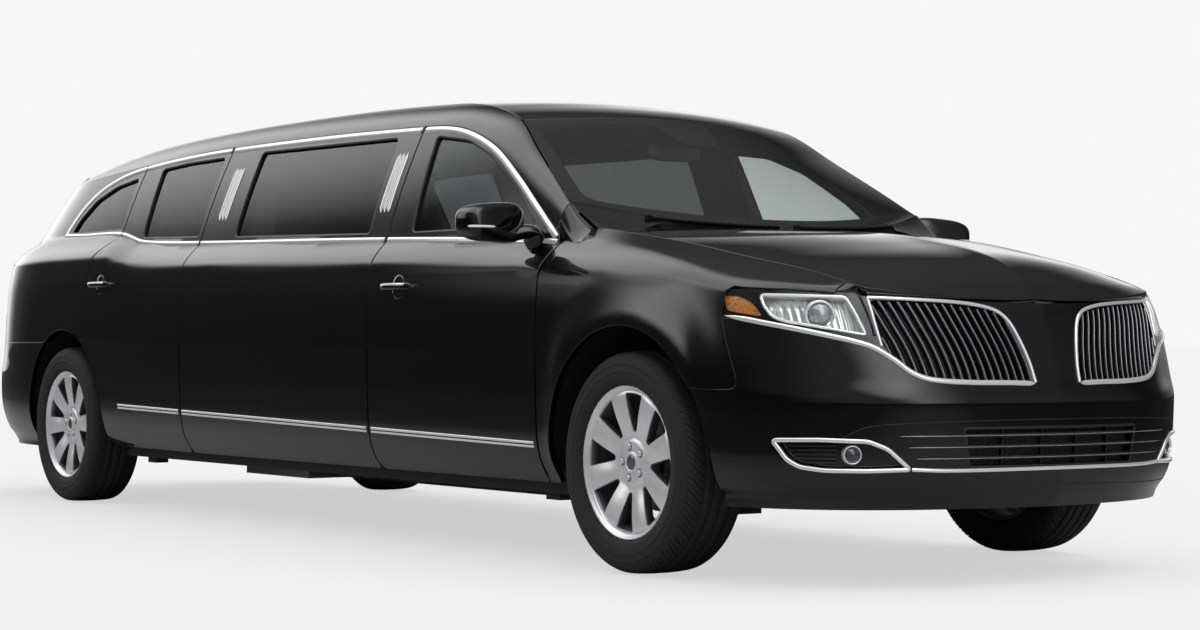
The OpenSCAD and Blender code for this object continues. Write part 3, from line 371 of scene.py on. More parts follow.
def panel(surface, loops, depth, step=.03, out=1, hem=.003, face=0, edge=0, back=0, lift=0):
    """A trimmed sheet: the surface inside the first outline and outside the others, in triangles between a
    square grid and the outlines, with its edges turned back on a quarter circle of radius hem, and a second
    face depth behind it. lift sets the sheet off the surface along its normal."""
    loops = [dense(loop, step * .6) for loop in loops]
    loops = [loop if (area(loop) > 0) == (k == 0) else loop[::-1] for k, loop in enumerate(loops)]
    low, high = loops[0].min(0) + step / 2, loops[0].max(0)
    grid = np.stack(np.meshgrid(*(np.arange(a, b, step) for a, b in zip(low, high))), -1).reshape(-1, 2)
    for k, loop in enumerate(loops):
        grid = grid[within(grid, loop) == (k == 0)]
        grid = grid[clear_of(grid, loop) > step * .4] if len(grid) else grid
    start = np.cumsum([0] + [len(loop) for loop in loops])
    spans = zip(start, start[1:])
    legs = np.vstack([np.c_[np.arange(a, b), np.r_[np.arange(a + 1, b), a]] for a, b in spans])
    flat = np.vstack(loops + [grid])
    corners, _, tris, *_ = delaunay_2d_cdt(flat.tolist(), legs.tolist(), [], 0, 1e-7)
    tris, flat = np.array(tris), np.array(corners)
    middle = flat[tris].mean(1)
    keep = np.ones(len(tris), bool)
    for k, loop in enumerate(loops):
        keep &= within(middle, loop) == (k == 0)
    tris = tris[keep] if out > 0 else tris[keep][:, ::-1]
    u, v = flat.T
    du, dv = slopes(surface, u, v)
    n = unit(np.cross(du, dv)) * out
    p = surface(u, v) + n * lift
    deep = np.broadcast_to(depth(u, v) if callable(depth) else depth, len(p))[:, None]
    count = len(p)
    points, normals = [p, p - n * deep], [n, -n]
    faces = [tris, tris[:, ::-1] + count]
    marks = [np.full(len(tris), face), np.full(len(tris), back)]
    total = 2 * count
    for k, loop in enumerate(loops):
        i = np.arange(start[k], start[k + 1])
        along = np.roll(loop, -1, 0) - np.roll(loop, 1, 0)
        away = du[i] * along[:, 1:] - dv[i] * along[:, :1]
        run = unit(np.roll(p[i], -1, 0) - np.roll(p[i], 1, 0))
        away -= n[i] * (away * n[i]).sum(-1, keepdims=True)
        away = unit(away - run * (away * run).sum(-1, keepdims=True))
        turn = np.radians([30, 60, 90])[:, None, None]
        rings = p[i] + away * hem * np.sin(turn) - n[i] * hem * (1 - np.cos(turn))
        points += [*rings, p[i] + away * hem - n[i] * deep[i]]
        normals += [*(n[i] * np.cos(turn) + away * np.sin(turn)), unit(away - n[i])]
        m = len(i)
        rows = [i, *(total + m * r + np.arange(m) for r in range(4)), i + count]
        total += 4 * m
        for a, b in zip(rows, rows[1:]):
            quad = np.stack([a, b, np.roll(b, -1), np.roll(a, -1)], -1)
            quad = quad if out > 0 else quad[:, ::-1]
            faces += [quad[:, [0, 1, 2]], quad[:, [0, 2, 3]]]
            marks += [np.full(2 * m, edge)]
    return np.vstack(points), np.vstack(faces), np.vstack(normals), np.concatenate(marks)


def flipped(shape):
    """The same shape on the other side of the car."""
    p, f, n, m = shape
    turn = np.array([1, -1, 1])
    return p * turn, f[:, ::-1], n * turn, m


def joined(*shapes):
    """Several shapes as one."""
    base = np.cumsum([0] + [len(s[0]) for s in shapes])
    points, faces, normals, marks = zip(*shapes)
    return (np.vstack(points), np.vstack([f + b for f, b in zip(faces, base)]), np.vstack(normals),
            np.concatenate(marks))


def both(*shapes):
    """The shapes on both sides of the car, as one."""
    shape = joined(*shapes)
    return joined(shape, flipped(shape))


def piece(name, shape, body, finishes, *nodes, slot):
    """Puts a shape into the scene as one object on a body, in place of the nodes."""
    p, f, n, m = shape
    mesh = bpy.data.meshes.new(name)
    mesh.vertices.add(len(p))
    mesh.vertices.foreach_set("co", p.astype(np.float32).ravel())
    mesh.loops.add(f.size)
    mesh.loops.foreach_set("vertex_index", f.astype(np.int32).ravel())
    mesh.polygons.add(len(f))
    mesh.polygons.foreach_set("loop_start", np.arange(0, f.size, 3, dtype=np.int32))
    mesh.polygons.foreach_set("material_index", m.astype(np.int32))
    mesh.polygons.foreach_set("use_smooth", np.ones(len(f), bool))
    for material in finishes:
        mesh.materials.append(material)
    mesh.update(calc_edges=True)
    mesh.normals_split_custom_set_from_vertices(unit(n).tolist())
    made = bpy.data.objects.new(name, mesh)
    bpy.context.scene.collection.objects.link(made)
    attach(made, body)
    if nodes:
        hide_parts(*nodes)
    return made


def paint_finish(name):
    """Black lacquer under clear coat: a faint orange-peel ripple in the coat, and a little dust that dulls
    the lacquer in patches."""
    material, shader, w = finish(name, Base_Color=(.0018, .0018, .0021, 1), Roughness=.32,
                                 Specular_IOR_Level=.05, Coat_Weight=1.0, Coat_Roughness=.025, Coat_IOR=1.5)
    ripple = pattern(w, "Noise", 190.0, Detail=2.0)
    wave = pattern(w, "Noise", 9.0, Detail=1.0)
    bump(ripple * .5 + wave, shader, .012, .002)
    dust = pattern(w, "Noise", 3.2, Detail=8.0, Roughness=.7)
    (dust * .10 + .27).into(shader, "Roughness")
    return material


paint = paint_finish("body_paint_black")
card, shader, w = finish("door_card_vinyl", Base_Color=(.02, .019, .018, 1), Roughness=.55)
grain = pattern(w, "Voronoi", 420.0)
bump(grain, shader, .25, .0006)
(grain * .2 + .45).into(shader, "Roughness")

# Rows: x, rail height, half width and height of the roof ditch, crown of the roof, bow of the glass.
FRAME = np.array([
    (RX - .490, 1.528, .545, 1.592, 1.640, 0), (RX - .026, 1.566, .562, 1.660, 1.702, -.010),
    (RX + .420, 1.590, .572, 1.695, 1.732, 0), (RX + 1.000, 1.619, .578, 1.712, 1.746, 0),
    (RX + 1.600, 1.624, .580, 1.718, 1.750, 0), (FX - 2.300, 1.618, .580, 1.714, 1.746, 0),
    (FX - 1.710, 1.604, .582, 1.698, 1.730, 0), (FX - 1.500, 1.593, .588, 1.684, 1.714, .015),
    (FX - 1.324, 1.561, .604, 1.655, 1.686, .040), (FX - 1.110, 1.488, .640, 1.593, 1.620, .075),
    (FX - .905, 1.375, .700, 1.470, 1.465, .145), (FX - .715, 1.250, .755, 1.358, 1.313, .208),
    (FX - .545, 1.150, .800, 1.255, 1.165, .255)])
rail, ditch_y, ditch_z, crown, bow = (line_through(FRAME[:, [0, k]]) for k in range(1, 6))
GAP, HEM = .00375, .0025
SHUT = GAP + HEM
DOOR_FRONT, DOOR_REAR, BACK_FRONT, BACK_REAR = FX - .525, FX - 1.700, RX + 1.310, RX + .430
WHEEL_R, ARCH_R = .369, .452
RAIL_POINTS, PANE_CORNER = 24, .03
HANDS = (("left", lambda shape: shape), ("right", flipped))


def rail_line(a, b, drop):
    """A line along the top of the side from a to b, drop below the rail."""
    x = np.linspace(a, b, RAIL_POINTS)
    return np.c_[x, rail(x) - drop]


def arch_line(axle, first, last, n):
    """The edge of a wheel arch in x and z, from one angle to another in degrees."""
    up = np.radians(np.linspace(first, last, n))
    return np.c_[axle + (ARCH_R + HEM) * np.cos(up), WHEEL_R + (ARCH_R + HEM) * np.sin(up)]


def wall_depth(x, z):
    """Thickness of a door or wall: full up to the belt, then thinner to the rail."""
    return mix(.072, .046, np.clip((z - belt(x)) / .35, 0, 1))


def hinge_end(x, z):
    """Thickness of a front door: a wall, thinned over its last .13 m to the hinges."""
    return wall_depth(x, z) * mix(.45, 1, np.clip((DOOR_FRONT - x - .03) / .10, 0, 1))


FRONT_PANE = rounded([(FX - .690, 1.176), (FX - .894, 1.330), (FX - 1.124, 1.458), (FX - 1.326, 1.530),
                      (FX - 1.580, 1.562), (FX - 1.530, 1.180)], PANE_CORNER)
STRETCH_PANE = rounded([(FX - 1.848, 1.185), (FX - 1.873, 1.573), (RX + 1.614, 1.588), (RX + 1.632, 1.212)],
                       PANE_CORNER)
BACK_PANE = rounded([(RX + 1.282, 1.225), (RX + 1.261, 1.586), (RX + .880, 1.581), (RX + .616, 1.568),
                     (RX + .668, 1.240)], PANE_CORNER)
QUARTER_PANE = rounded([(RX + .398, 1.290), (RX + .386, 1.538), (RX + .150, 1.508), (RX - .040, 1.448),
                        (RX - .160, 1.360), (RX - .215, 1.290)], PANE_CORNER)
door_corners = [(DOOR_FRONT - SHUT, 1.10), (DOOR_FRONT - SHUT, SILL), (DOOR_REAR + SHUT, SILL)]
door_loop = rounded(np.vstack([door_corners, rail_line(DOOR_REAR + SHUT, DOOR_FRONT - SHUT - .02, SHUT)]),
                    [.03] * 3 + [.012] * RAIL_POINTS)
back_arch = arch_line(RX, -11, 70, 20)
back_arch = back_arch[back_arch[:, 0] > RX + .150 + SHUT]
back_edge = [(BACK_REAR + SHUT, 1.255), (RX + .330 + SHUT, 1.170), (RX + .205 + SHUT, .860),
             (RX + .158 + SHUT, .802)]
back_loop = rounded(np.vstack([[(BACK_FRONT - SHUT, SILL)],
                               rail_line(BACK_FRONT - SHUT, BACK_REAR + SHUT, SHUT), back_edge,
                               back_arch[::-1]]),
                    [.03] + [.012] * RAIL_POINTS + [.05, .10, .03, .02] + [.004] * len(back_arch))
for place_name, loop, pane_loop, depth in (("front", door_loop, FRONT_PANE, hinge_end),
                                           ("rear", back_loop, BACK_PANE, wall_depth)):
    door = panel(side, [loop, pane_loop], depth, out=-1, hem=HEM, back=1)
    for hand, mirror in HANDS:
        piece(f"door_{place_name}_{hand}_skin", mirror(door), f"door_{place_name[0]}{hand[0]}", [paint, card],
              f"door_{place_name}_{hand}", slot="body_paint")

stretch_loop = rounded(np.vstack([[(DOOR_REAR - SHUT, SILL)],
                                  rail_line(DOOR_REAR - SHUT, BACK_FRONT + SHUT, .001),
                                  [(BACK_FRONT + SHUT, SILL)]]), [.02] + [.006] * RAIL_POINTS + [.02])
stretch = panel(side, [stretch_loop, STRETCH_PANE], wall_depth, out=-1, hem=HEM, back=1)
piece("stretch_side_panels", both(stretch), "body", [paint, card], "stretch_panels", slot="body_paint")


# Rear quarters: the steel skin behind the back doors, which runs on round the corner to the tailgate.
# The wheel arch and the quarter window are cut in it, and the red lamp is let in at the corner.
def share(s, p, q):
    """A superellipse at step s from its tip: the shares along and across. The angle runs as s^(q/2) against
    (1-s)^(p/2), so that the steps stay even at both ends."""
    a, b = s ** (q / 2), (1 - s) ** (p / 2)
    return np.sin(np.pi / 2 * b / (a + b)) ** (2 / p), np.sin(np.pi / 2 * a / (a + b)) ** (2 / q)


def wrap(p, q, reach, width, n=20001):
    """How a superellipse is walked from its tip: the walked length and the step at each of n points."""
    s = np.linspace(0, 1, n)
    along, across = share(s, p, q)
    return np.r_[0, np.cumsum(np.hypot(np.diff(along) * reach, np.diff(across) * width))], s


tail_run, tail_s = wrap(TAIL_P, TAIL_Q, 1.10, .95)
TAIL_END = tail_run[-1]


def tail_skin(c, z):
    """The body behind the rear axle: c is the distance walked round it from the middle of the tail, left
    positive, and past the axle it goes on straight."""
    k = np.abs(c)
    along, across = share(np.interp(k, tail_run, tail_s), TAIL_P, TAIL_Q)
    past = k > TAIL_END
    x = np.where(past, RX + k - TAIL_END, RX - tail(z) * along)
    return np.stack([x, np.sign(c) * wall_y(x, z) * np.where(past, 1, across), z], -1)


def tail_at_x(x, z):
    """The walked distance at which the tail passes x."""
    along, _ = share(tail_s, TAIL_P, TAIL_Q)
    c = np.interp(-(RX - x) / tail(z), -along, tail_run)
    return np.where(x > RX, TAIL_END + x - RX, c)


def tail_at_y(y, z):
    """The walked distance at which the tail passes y, found in three rounds."""
    _, across = share(tail_s, TAIL_P, TAIL_Q)
    x = RX - tail(z) * .97
    for _ in range(3):
        c = np.interp(y / wall_y(x, z), across, tail_run)
        x = tail_skin(c, z)[..., 0]
    return c


def gate_edge(z, grow):
    """Half width of the tailgate: even up to the waist, then narrowing to the roof."""
    return mix(GATE_Y, GATE_TOP_Y, np.clip((z - WAIST) / (GATE_TOP - WAIST), 0, 1)) + grow


def on_tail(points):
    """Points in x and z as points in walked distance and z."""
    x, z = np.asarray(points, float).T
    return np.c_[tail_at_x(x, z), z]


def row(a, b, level, n):
    """A level row of n points from a to b."""
    return np.c_[np.linspace(a, b, n), np.full(n, level)]


def with_mirror(half, skip=0):
    """A line across the car from its left half, which leaves out the first skip points of the other
    half."""
    return np.vstack([half, half[::-1][skip:] * [-1, 1]])


GATE_Y, GATE_TOP_Y, WAIST, GATE_LOW, GATE_TOP, BUMPER_TOP = .745, .560, 1.235, .772, 1.640, .760
RAIL_END, PILLAR_TOP = RX - .490, 1.583
over_arch = arch_line(RX, 62, 118, 30)
over_arch = over_arch[(over_arch[:, 0] < RX + .150 - SHUT) & (over_arch[:, 1] > BUMPER_TOP + HEM)]
z = np.linspace(PILLAR_TOP, BUMPER_TOP + HEM, 30)
door_side = [(RX + .150 - SHUT, .800), (RX + .205 - SHUT, .860), (RX + .330 - SHUT, 1.170),
             (BACK_REAR - SHUT, 1.255)]
quarter_loop = np.vstack([
    on_tail(over_arch[::-1]), on_tail(door_side), on_tail(rail_line(BACK_REAR - SHUT, RAIL_END, .001)),
    on_tail([(RAIL_END, PILLAR_TOP)]), np.c_[tail_at_y(gate_edge(z, SHUT), z), z],
    on_tail(row(over_arch[-1, 0] - .01, RX - .95, BUMPER_TOP + HEM, 12)[::-1])])
lamp_z = np.linspace(.902, 1.148, 16)
lamp_front = RX - mix(.84, .70, (lamp_z - .90) / .25)
lamp_loop = np.vstack([np.c_[tail_at_y(gate_edge(lamp_z, .012), lamp_z), lamp_z],
                       np.c_[tail_at_x(lamp_front, lamp_z), lamp_z][::-1]])
quarter_window = rounded(on_tail(dense(QUARTER_PANE, .02)), .001, 1)
quarter = panel(tail_skin, [quarter_loop, quarter_window, lamp_loop], .044, out=-1, hem=HEM, back=1)
piece("rear_quarter_skins", both(quarter), "body", [paint, card], "rear_quarters", slot="body_paint")

# Tail lamps: ribbed red plastic lenses, let into the corners of the quarters.
# Each is a sheet of the same skin, set two millimetres back.
lamp_red, shader, w = finish("tail_lamp_red", Base_Color=(.32, .006, .008, 1), Roughness=.08, Coat_Weight=1.0,
                             Coat_Roughness=.03)
bump(pattern(w, "Wave", 22.0, {"bands_direction": "Z"}), shader, .25, .003)
lens = panel(tail_skin, [rounded(lamp_loop, .02, 3)], .040, step=.02, out=-1, hem=.003, lift=-.002)
piece("tail_lamp_lenses", both(lens), "body", [lamp_red], "tail_lamps", slot="lamp_red")

# Tailgate: one steel pressing from the bumper to the roof edge, with the back window cut in it.
# It hangs on its hinges under the roof edge.
PANE_LOW, PANE_HIGH = 1.262, 1.556
z = np.r_[np.linspace(GATE_LOW + SHUT, WAIST, 14), np.linspace(WAIST + .03, 1.590, 12)]
draft = .012 * np.clip((z - WAIST) / .4, 0, 1)
gate_side = np.c_[tail_at_y(gate_edge(z, -SHUT) - draft, z), z]
s = np.linspace(.98, 0, 12)
top_z = mix(GATE_TOP, 1.592, s ** 2.2) - .006
gate_top = np.c_[tail_at_y(s * (GATE_TOP_Y - SHUT - .012), top_z), top_z]
gate_loop = with_mirror(np.vstack([gate_side, gate_top]), 1)
z = np.linspace(PANE_LOW, PANE_HIGH, 8)
pane_side = np.c_[tail_at_y(mix(.640, .510, (z - PANE_LOW) / (PANE_HIGH - PANE_LOW)), z), z]
gate_pane = rounded(with_mirror(pane_side), 2 * ([.05] + [.003] * 6 + [.05]))
piece("tailgate_skin", panel(tail_skin, [gate_loop, gate_pane], .030, out=-1, hem=HEM, back=1), "tailgate",
      [paint, card], "tailgate", slot="body_paint")

# Rear bumper: a moulded cover in body colour round the tail, from arch to arch.
# Its upper edge meets the quarters and the tailgate step.
z = np.linspace(.252, BUMPER_TOP - HEM, 24)
arch_x = RX - np.sqrt(np.maximum(0, (ARCH_R + HEM) ** 2 - (z - WHEEL_R) ** 2))
bumper_loop = with_mirror(np.c_[tail_at_x(arch_x, z), z])
piece("rear_bumper_cover", panel(tail_skin, [bumper_loop], .022, out=-1, hem=HEM), "body", [paint],
      "rear_bumper", slot="body_paint")


# Roof: the long steel centre panel between two ditches, and the rails that run down into the front pillars.
# Both are lined with vinyl on the inside.
def roof_skin(x, y):
    """Roof and windscreen: y over ROOF_Y is the share s of the way from the middle to the ditch, and the
    height falls from crown to ditch as s to the power 2.2."""
    s = y / ROOF_Y
    height = mix(crown(x), ditch_z(x), np.abs(s) ** 2.2)
    return np.stack([x + bow(x) * (1 - s * s), s * ditch_y(x), height], -1)


def rail_skin(x, v):
    """The rail from the top of the side, at v 0, to the ditch, at v RAIL_V, with a bulge of a parabola
    between them."""
    w = v / RAIL_V
    b = .016 * 2.8 * w * (1 - w)
    y = wall_y(x, rail(x)) * end_share(x, rail(x))
    return np.stack([x, mix(y, ditch_y(x), w) + b, mix(rail(x), ditch_z(x), w) + b], -1)


def box(x0, x1, y0, y1):
    """A rectangle as an outline."""
    return np.array([(x0, y0), (x1, y0), (x1, y1), (x0, y1)])


ROOF_Y, RAIL_V = .58, .2
HEADER, BASE = FX - 1.110, FX - .545
piece("roof_skin", panel(roof_skin, [box(RAIL_END + .004, HEADER - HEM, -.576, .576)], .022, hem=HEM, back=1),
      "body", [paint, card], "roof_panel", slot="body_paint")
rails = panel(rail_skin, [box(RAIL_END, BASE, .003, .197)], .022, step=.028, out=-1, hem=.002, back=1)
piece("roof_rails", both(rails), "body", [paint, card], "cant_rails", slot="body_paint")


# Glass: a laminated windscreen with a black printed border, and tempered side panes, dark behind the front
# doors. Each pane is cut from the skin round it. The windscreen lies flush, and the others are set back.
def glass_finish(name, tint, bend=1.45):
    """Tinted glass. Light on its way to the cabin goes straight through the tint, so that the seats behind
    it are lit."""
    material, shader, w = finish(name, Base_Color=(*tint, 1), Roughness=.0, Transmission_Weight=1.0, IOR=bend)
    ray = w.node("ShaderNodeLightPath", take=1)
    film = w.node("ShaderNodeBsdfTransparent", None, {0: (*tint, 1)})
    sockets = {0: ray, 1: Wire(w.tree, shader.outputs[0]), 2: film}
    w.node("ShaderNodeMixShader", None, sockets).into(material.node_tree.nodes["Material Output"], "Surface")
    return material


def pane(loop, surface=side, lift=-.012):
    """A pane of glass cut from a surface and set off it by lift."""
    return panel(surface, [loop], GLASS, out=-1, hem=.001, lift=lift)


GLASS = .005
clear_glass = glass_finish("windscreen_glass", (.80, .84, .82), 1.4)
front_glass = glass_finish("front_door_glass", (.62, .66, .65), 1.3)
dark_glass = glass_finish("privacy_glass", (.10, .105, .105))
print_black, shader, w = finish("black_glass_print", Base_Color=(.004, .004, .004, 1), Roughness=.2,
                                Specular_IOR_Level=.05)
(pattern(w, "Noise", 60.0) * .1 + .15).into(shader, "Roughness")
screen = box(HEADER + .003, BASE, -.574, .574)
border = rounded(box(HEADER + .045, BASE - .05, -.535, .535), .05)
piece("windscreen_pane", panel(roof_skin, [screen], GLASS, hem=.001, lift=.001), "body", [clear_glass],
      "windscreen", slot="glass_light")
piece("windscreen_border", panel(roof_skin, [screen, border], .0005, hem=.0002, lift=-.0055), "body",
      [print_black], slot="dark_trim")
for hand, mirror in HANDS:
    piece(f"front_door_pane_{hand}", mirror(pane(FRONT_PANE)), f"door_f{hand[0]}", [front_glass],
          f"glass_front_{hand}", slot="glass_light")
    piece(f"back_door_pane_{hand}", mirror(pane(BACK_PANE)), f"door_r{hand[0]}", [dark_glass],
          f"glass_rear_{hand}", slot="glass_dark")
piece("side_panes", both(pane(STRETCH_PANE), pane(quarter_window, tail_skin)), "body", [dark_glass],
      "side_glass", slot="glass_dark")
piece("back_window_pane", pane(gate_pane, tail_skin, -.010), "tailgate", [dark_glass], "tailgate_glass",
      slot="glass_dark")


# Bonnet: one steel pressing with a spine along its middle that sharpens towards the nose.
# It is hinged at the cowl, and its front edge lies on the nose cover.
def front_x(y, z):
    """Where the nose ends at y and z, on a superellipse a little narrower than the body."""
    return FX + nose(z) * (1 - (np.abs(y) / (HALF_W - .020)) ** NOSE_Q) ** (1 / NOSE_P)


def hood_point(s, t, grow=0):
    """The bonnet at share s across and t along: the sides draw in as t to the power 1.5, and the height
    falls from the middle to the edge as s to the power 2.2. The spine falls off from the middle as
    exp(-y)."""
    yr, yf = s * (HOOD_REAR_Y + grow), s * (HOOD_FRONT_Y + grow)
    back = HOOD_CORNER + .160 * (1 - (yr / HOOD_REAR_Y) ** 2)
    y = mix(yr, yf, np.maximum(t, 0) ** 1.5)
    sharp = np.clip(t * 1.4, 0, 1) * (1 - .5 * np.clip(t, 0, 1) ** 8)
    spine = .012 * np.exp(-np.sqrt(y * y + 1e-4) / .07) * sharp
    height = mix(hood_middle(t), hood_edge(t), np.abs(s) ** 2.2) + spine
    return np.stack([mix(back, front_x(yf, HOOD_LIP), t), y, height], -1)


def hood_skin(u, v):
    """The bonnet over lengths: 1.2 along and .7 from the middle to an edge."""
    return hood_point(v / .7, u / 1.2)


HOOD_REAR_Y, HOOD_FRONT_Y, HOOD_CORNER, HOOD_LIP = .775, .622, FX - .350, .900
hood_middle = line_through([(0, 1.166), (.35, 1.136), (.6, 1.092), (.8, 1.040), (.93, .966), (1, .900)])
hood_edge = line_through([(0, 1.158), (.35, 1.100), (.6, 1.044), (.8, 1.000), (.93, .962), (1, .938)])
bonnet = panel(hood_skin, [box(.002, 1.198, -.6985, .6985)], .020, step=1.397 / 77, hem=HEM)
piece("bonnet_skin", bonnet, "hood", [paint], "hood", slot="body_paint")


# Front fenders: steel skins from the door up over the wheel to the bonnet edge, in body colour.
# The wheel arch is cut in each, and the headlamp is let into the front.
def crest(x, w):
    """From the crest of the fender, at w 0, in to the edge of the bonnet, at w 1."""
    end = front_x(HOOD_FRONT_Y, HOOD_LIP)
    h = hood_point(np.ones_like(x), np.clip((x - HOOD_CORNER) / (end - HOOD_CORNER), 0, 1), .0075)
    y = wall_y(x, belt(x)) * end_share(x, belt(x))
    height = mix(belt(x), np.maximum(belt(x), h[..., 2]), np.maximum(w, 0) ** .8)
    return np.stack([x, mix(y, np.minimum(y - .008, h[..., 1]), w), height], -1)


def smooth(t):
    """A smooth step from 0 to 1."""
    t = np.clip(t, 0, 1)
    return t * t * (3 - 2 * t)


def fender_skin(x, v):
    """Up the side to v .8, then over the crest to v .96: the mean of nine points of the bent section, so
    that the crest is round. Round the wheel arch it swells on smooth steps: full at the lip, and gone .19 m
    outside the arch, at the door and at the nose cover."""
    total = 0
    for d in np.linspace(-.04, .04, 9):
        k = v + d * np.clip((.96 - v) / .16, 0, 1)
        low = side(x, mix(SILL, belt(x), np.minimum(k, .8) / .8))
        total = total + np.where((k > .8)[..., None], crest(x, np.clip((k - .8) / .16, 0, 1)), low) / 9
    off_axle = total[..., 0] - FX
    swell = smooth((ARCH_R + .19 - np.hypot(off_axle, total[..., 2] - WHEEL_R)) / .16)
    total[..., 1] += np.sign(total[..., 1]) * .016 * swell * smooth((.515 - abs(off_axle)) / .18)
    return total


def on_fender(points):
    """Points in x and z as points in x and the share v up the side."""
    x, z = np.asarray(points, float).T
    return np.c_[x, .8 * (z - SILL) / (belt(x) - SILL)]


def fender_depth(x, v):
    """Thinner above the headlamp, which lies close under the skin."""
    return np.where((x > LAMP_BACK) & (v > .7), .005, .020)


LAMP_BACK, FASCIA_TOP, CREST_END = FX + .478, .618, FX + .772
FENDER_FRONT = np.array([(2.945, .6210), (2.968, .6250), (2.978, .6370), (2.978, .6600), (2.946, .7400),
                         (2.908, .8420)])
fender_loop = np.vstack([on_fender([(DOOR_FRONT + SHUT, SILL)]), on_fender(arch_line(FX, 191, 33.7, 44)),
                         on_fender(FENDER_FRONT - [HEM, 0]), on_fender([(LAMP_BACK, .930)]),
                         row(LAMP_BACK + .02, CREST_END, .795, 14),
                         row(CREST_END, DOOR_FRONT + SHUT, .958, 44)])
fender = panel(fender_skin, [fender_loop], fender_depth, step=.025, out=-1, hem=HEM)
piece("front_fender_skins", both(fender), "body", [paint], "front_fenders", slot="body_paint")


# Pillar feet: small steel skins in body colour that carry each windscreen pillar down into the fender.
# Each is stretched between the end of the rail and the crest of the fender.
def foot_skin(u, v):
    """From the foot of the rail, at u 0, to the top of the fender, at u .14, on a slope that flattens as it
    lands."""
    k = np.clip(u / .14, -.05, 1.05)
    a = rail_skin(np.full_like(v, BASE - .004), v)
    b = crest(np.full_like(v, FX - .400), np.clip(v / RAIL_V, 0, 1))
    p = mix(a, b, k[..., None])
    p[..., 2] = mix(a[..., 2], b[..., 2], 1 - (1 - k) ** 2)
    return p


feet = panel(foot_skin, [box(.001, .139, .004, .196)], .010, step=.012, out=-1, hem=.002)
piece("pillar_feet", both(feet), "body", [paint], slot="body_paint")


# Front fascia: the moulded nose cover in body colour, with openings for two upright grilles, lamps and an
# intake. It meets the fenders at the wheel arch, and the bonnet at its upper edge.
nose_run, nose_s = wrap(NOSE_P, NOSE_Q, 1.0, .95)


def nose_skin(c, z):
    """The body ahead of the front axle, walked round from the middle of the nose, with a slight upright
    edge in the middle that falls off as exp(-y)."""
    along, across = share(np.interp(np.abs(c), nose_run, nose_s), NOSE_P, NOSE_Q)
    x = FX + nose(z) * along
    y = np.sign(c) * wall_y(x, z) * across
    edge = .010 - .016 * (1 - np.exp(-np.sqrt(y * y + 1e-4) / .16))
    return np.stack([x + edge * along ** 6, y, z], -1)


def nose_at_y(y, z):
    """The walked distance at which the nose passes y, found in four rounds."""
    _, across = share(nose_s, NOSE_P, NOSE_Q)
    x = FX + nose(z) * .9
    for _ in range(4):
        c = np.interp(np.abs(y) / wall_y(x, z), across, nose_run)
        x = FX + nose(z) * share(np.interp(c, nose_run, nose_s), NOSE_P, NOSE_Q)[0]
    return c * np.sign(y)


def nose_at_x(x, z):
    """The walked distance at which the nose passes x."""
    along, _ = share(nose_s, NOSE_P, NOSE_Q)
    return np.interp(-(x - FX) / nose(z), -along, nose_run)


def on_nose(points):
    """Points in y and z as points in walked distance and z."""
    y, z = np.asarray(points, float).T
    return np.c_[nose_at_y(y, z), z]


GRILLE = rounded([(.092, .642), (.100, .700), (.124, .780), (.150, .834), (.186, .864), (.250, .880),
                  (.337, .889), (.504, .898), (.604, .900), (.597, .754), (.572, .716), (.523, .674),
                  (.466, .655), (.341, .646)], .02)
HEADLAMP = [(.612, .786), (.626, .926), (.760, .934), (.870, .936), (.905, .930), (.916, .846), (.800, .806)]
INTAKE = [(-.372, .500), (.372, .500), (.350, .378), (-.350, .378)]
FOG = [(.540, .374), (.570, .402), (.608, .438), (.660, .461), (.779, .466), (.862, .464), (.836, .404),
       (.811, .381), (.759, .371), (.662, .370)]
grille_loop = on_nose(dense(GRILLE, .015))
intake_loop = on_nose(dense(rounded(INTAKE, .012), .02))
fog_loop = on_nose(dense(rounded(FOG, .008), .015))
z = np.linspace(.248, FASCIA_TOP - .001, 20)
arch_x = FX + np.sqrt((ARCH_R + HEM) ** 2 - (z - WHEEL_R) ** 2)
s = np.linspace(1, 0, 14)
under_hood = mix(HOOD_LIP, .938, s ** 2.2) - .0075 - HEM
lamp_side = np.vstack([np.linspace(a, b, n) for a, b, n in (((.900, .836), (.800, .804), 6),
                                                            ((.784, .8013), (.612, .784), 10),
                                                            ((.610, .786), (.623, .916), 8))])
seam_x, seam_z = FENDER_FRONT.T
fascia_loop = with_mirror(np.vstack([
    np.c_[nose_at_x(arch_x, z), z],
    np.c_[nose_at_x(seam_x + HEM + .001, seam_z), seam_z - [.004, .004, .002, 0, 0, 0]],
    on_nose(lamp_side), on_nose(np.c_[s * (HOOD_FRONT_Y + .001), under_hood])]), 1)
tip = crest(np.full(2, FX + .770), np.array([0, .97]))
corner = hood_point(np.ones(1), np.array([.995]), .0060)[0]
inner = nose_skin(*on_nose([(.628, .9275)]).T)[0]


def tip_skin(u, v):
    """The last corner of the fender, between the end of its crest and the corner of the bonnet, as a
    bilinear patch."""
    a, b = tip[0] - [.004, 0, .003], tip[1] - [.004, 0, .002]
    u, v = u[..., None] / .05, v[..., None] / .05
    return mix(mix(a, b, v), mix(inner, corner, v), u)


tips = panel(tip_skin, [box(0, .05, 0, .05)], .004, step=.008, out=-1, hem=.0015)
piece("fender_tips", both(tips), "body", [paint], slot="body_paint")
openings = [grille_loop, grille_loop * [-1, 1], intake_loop, fog_loop, fog_loop * [-1, 1]]
piece("front_fascia_skin", panel(nose_skin, [fascia_loop, *openings], .020, step=.016, hem=HEM), "body",
      [paint], "front_fascia", slot="body_paint")


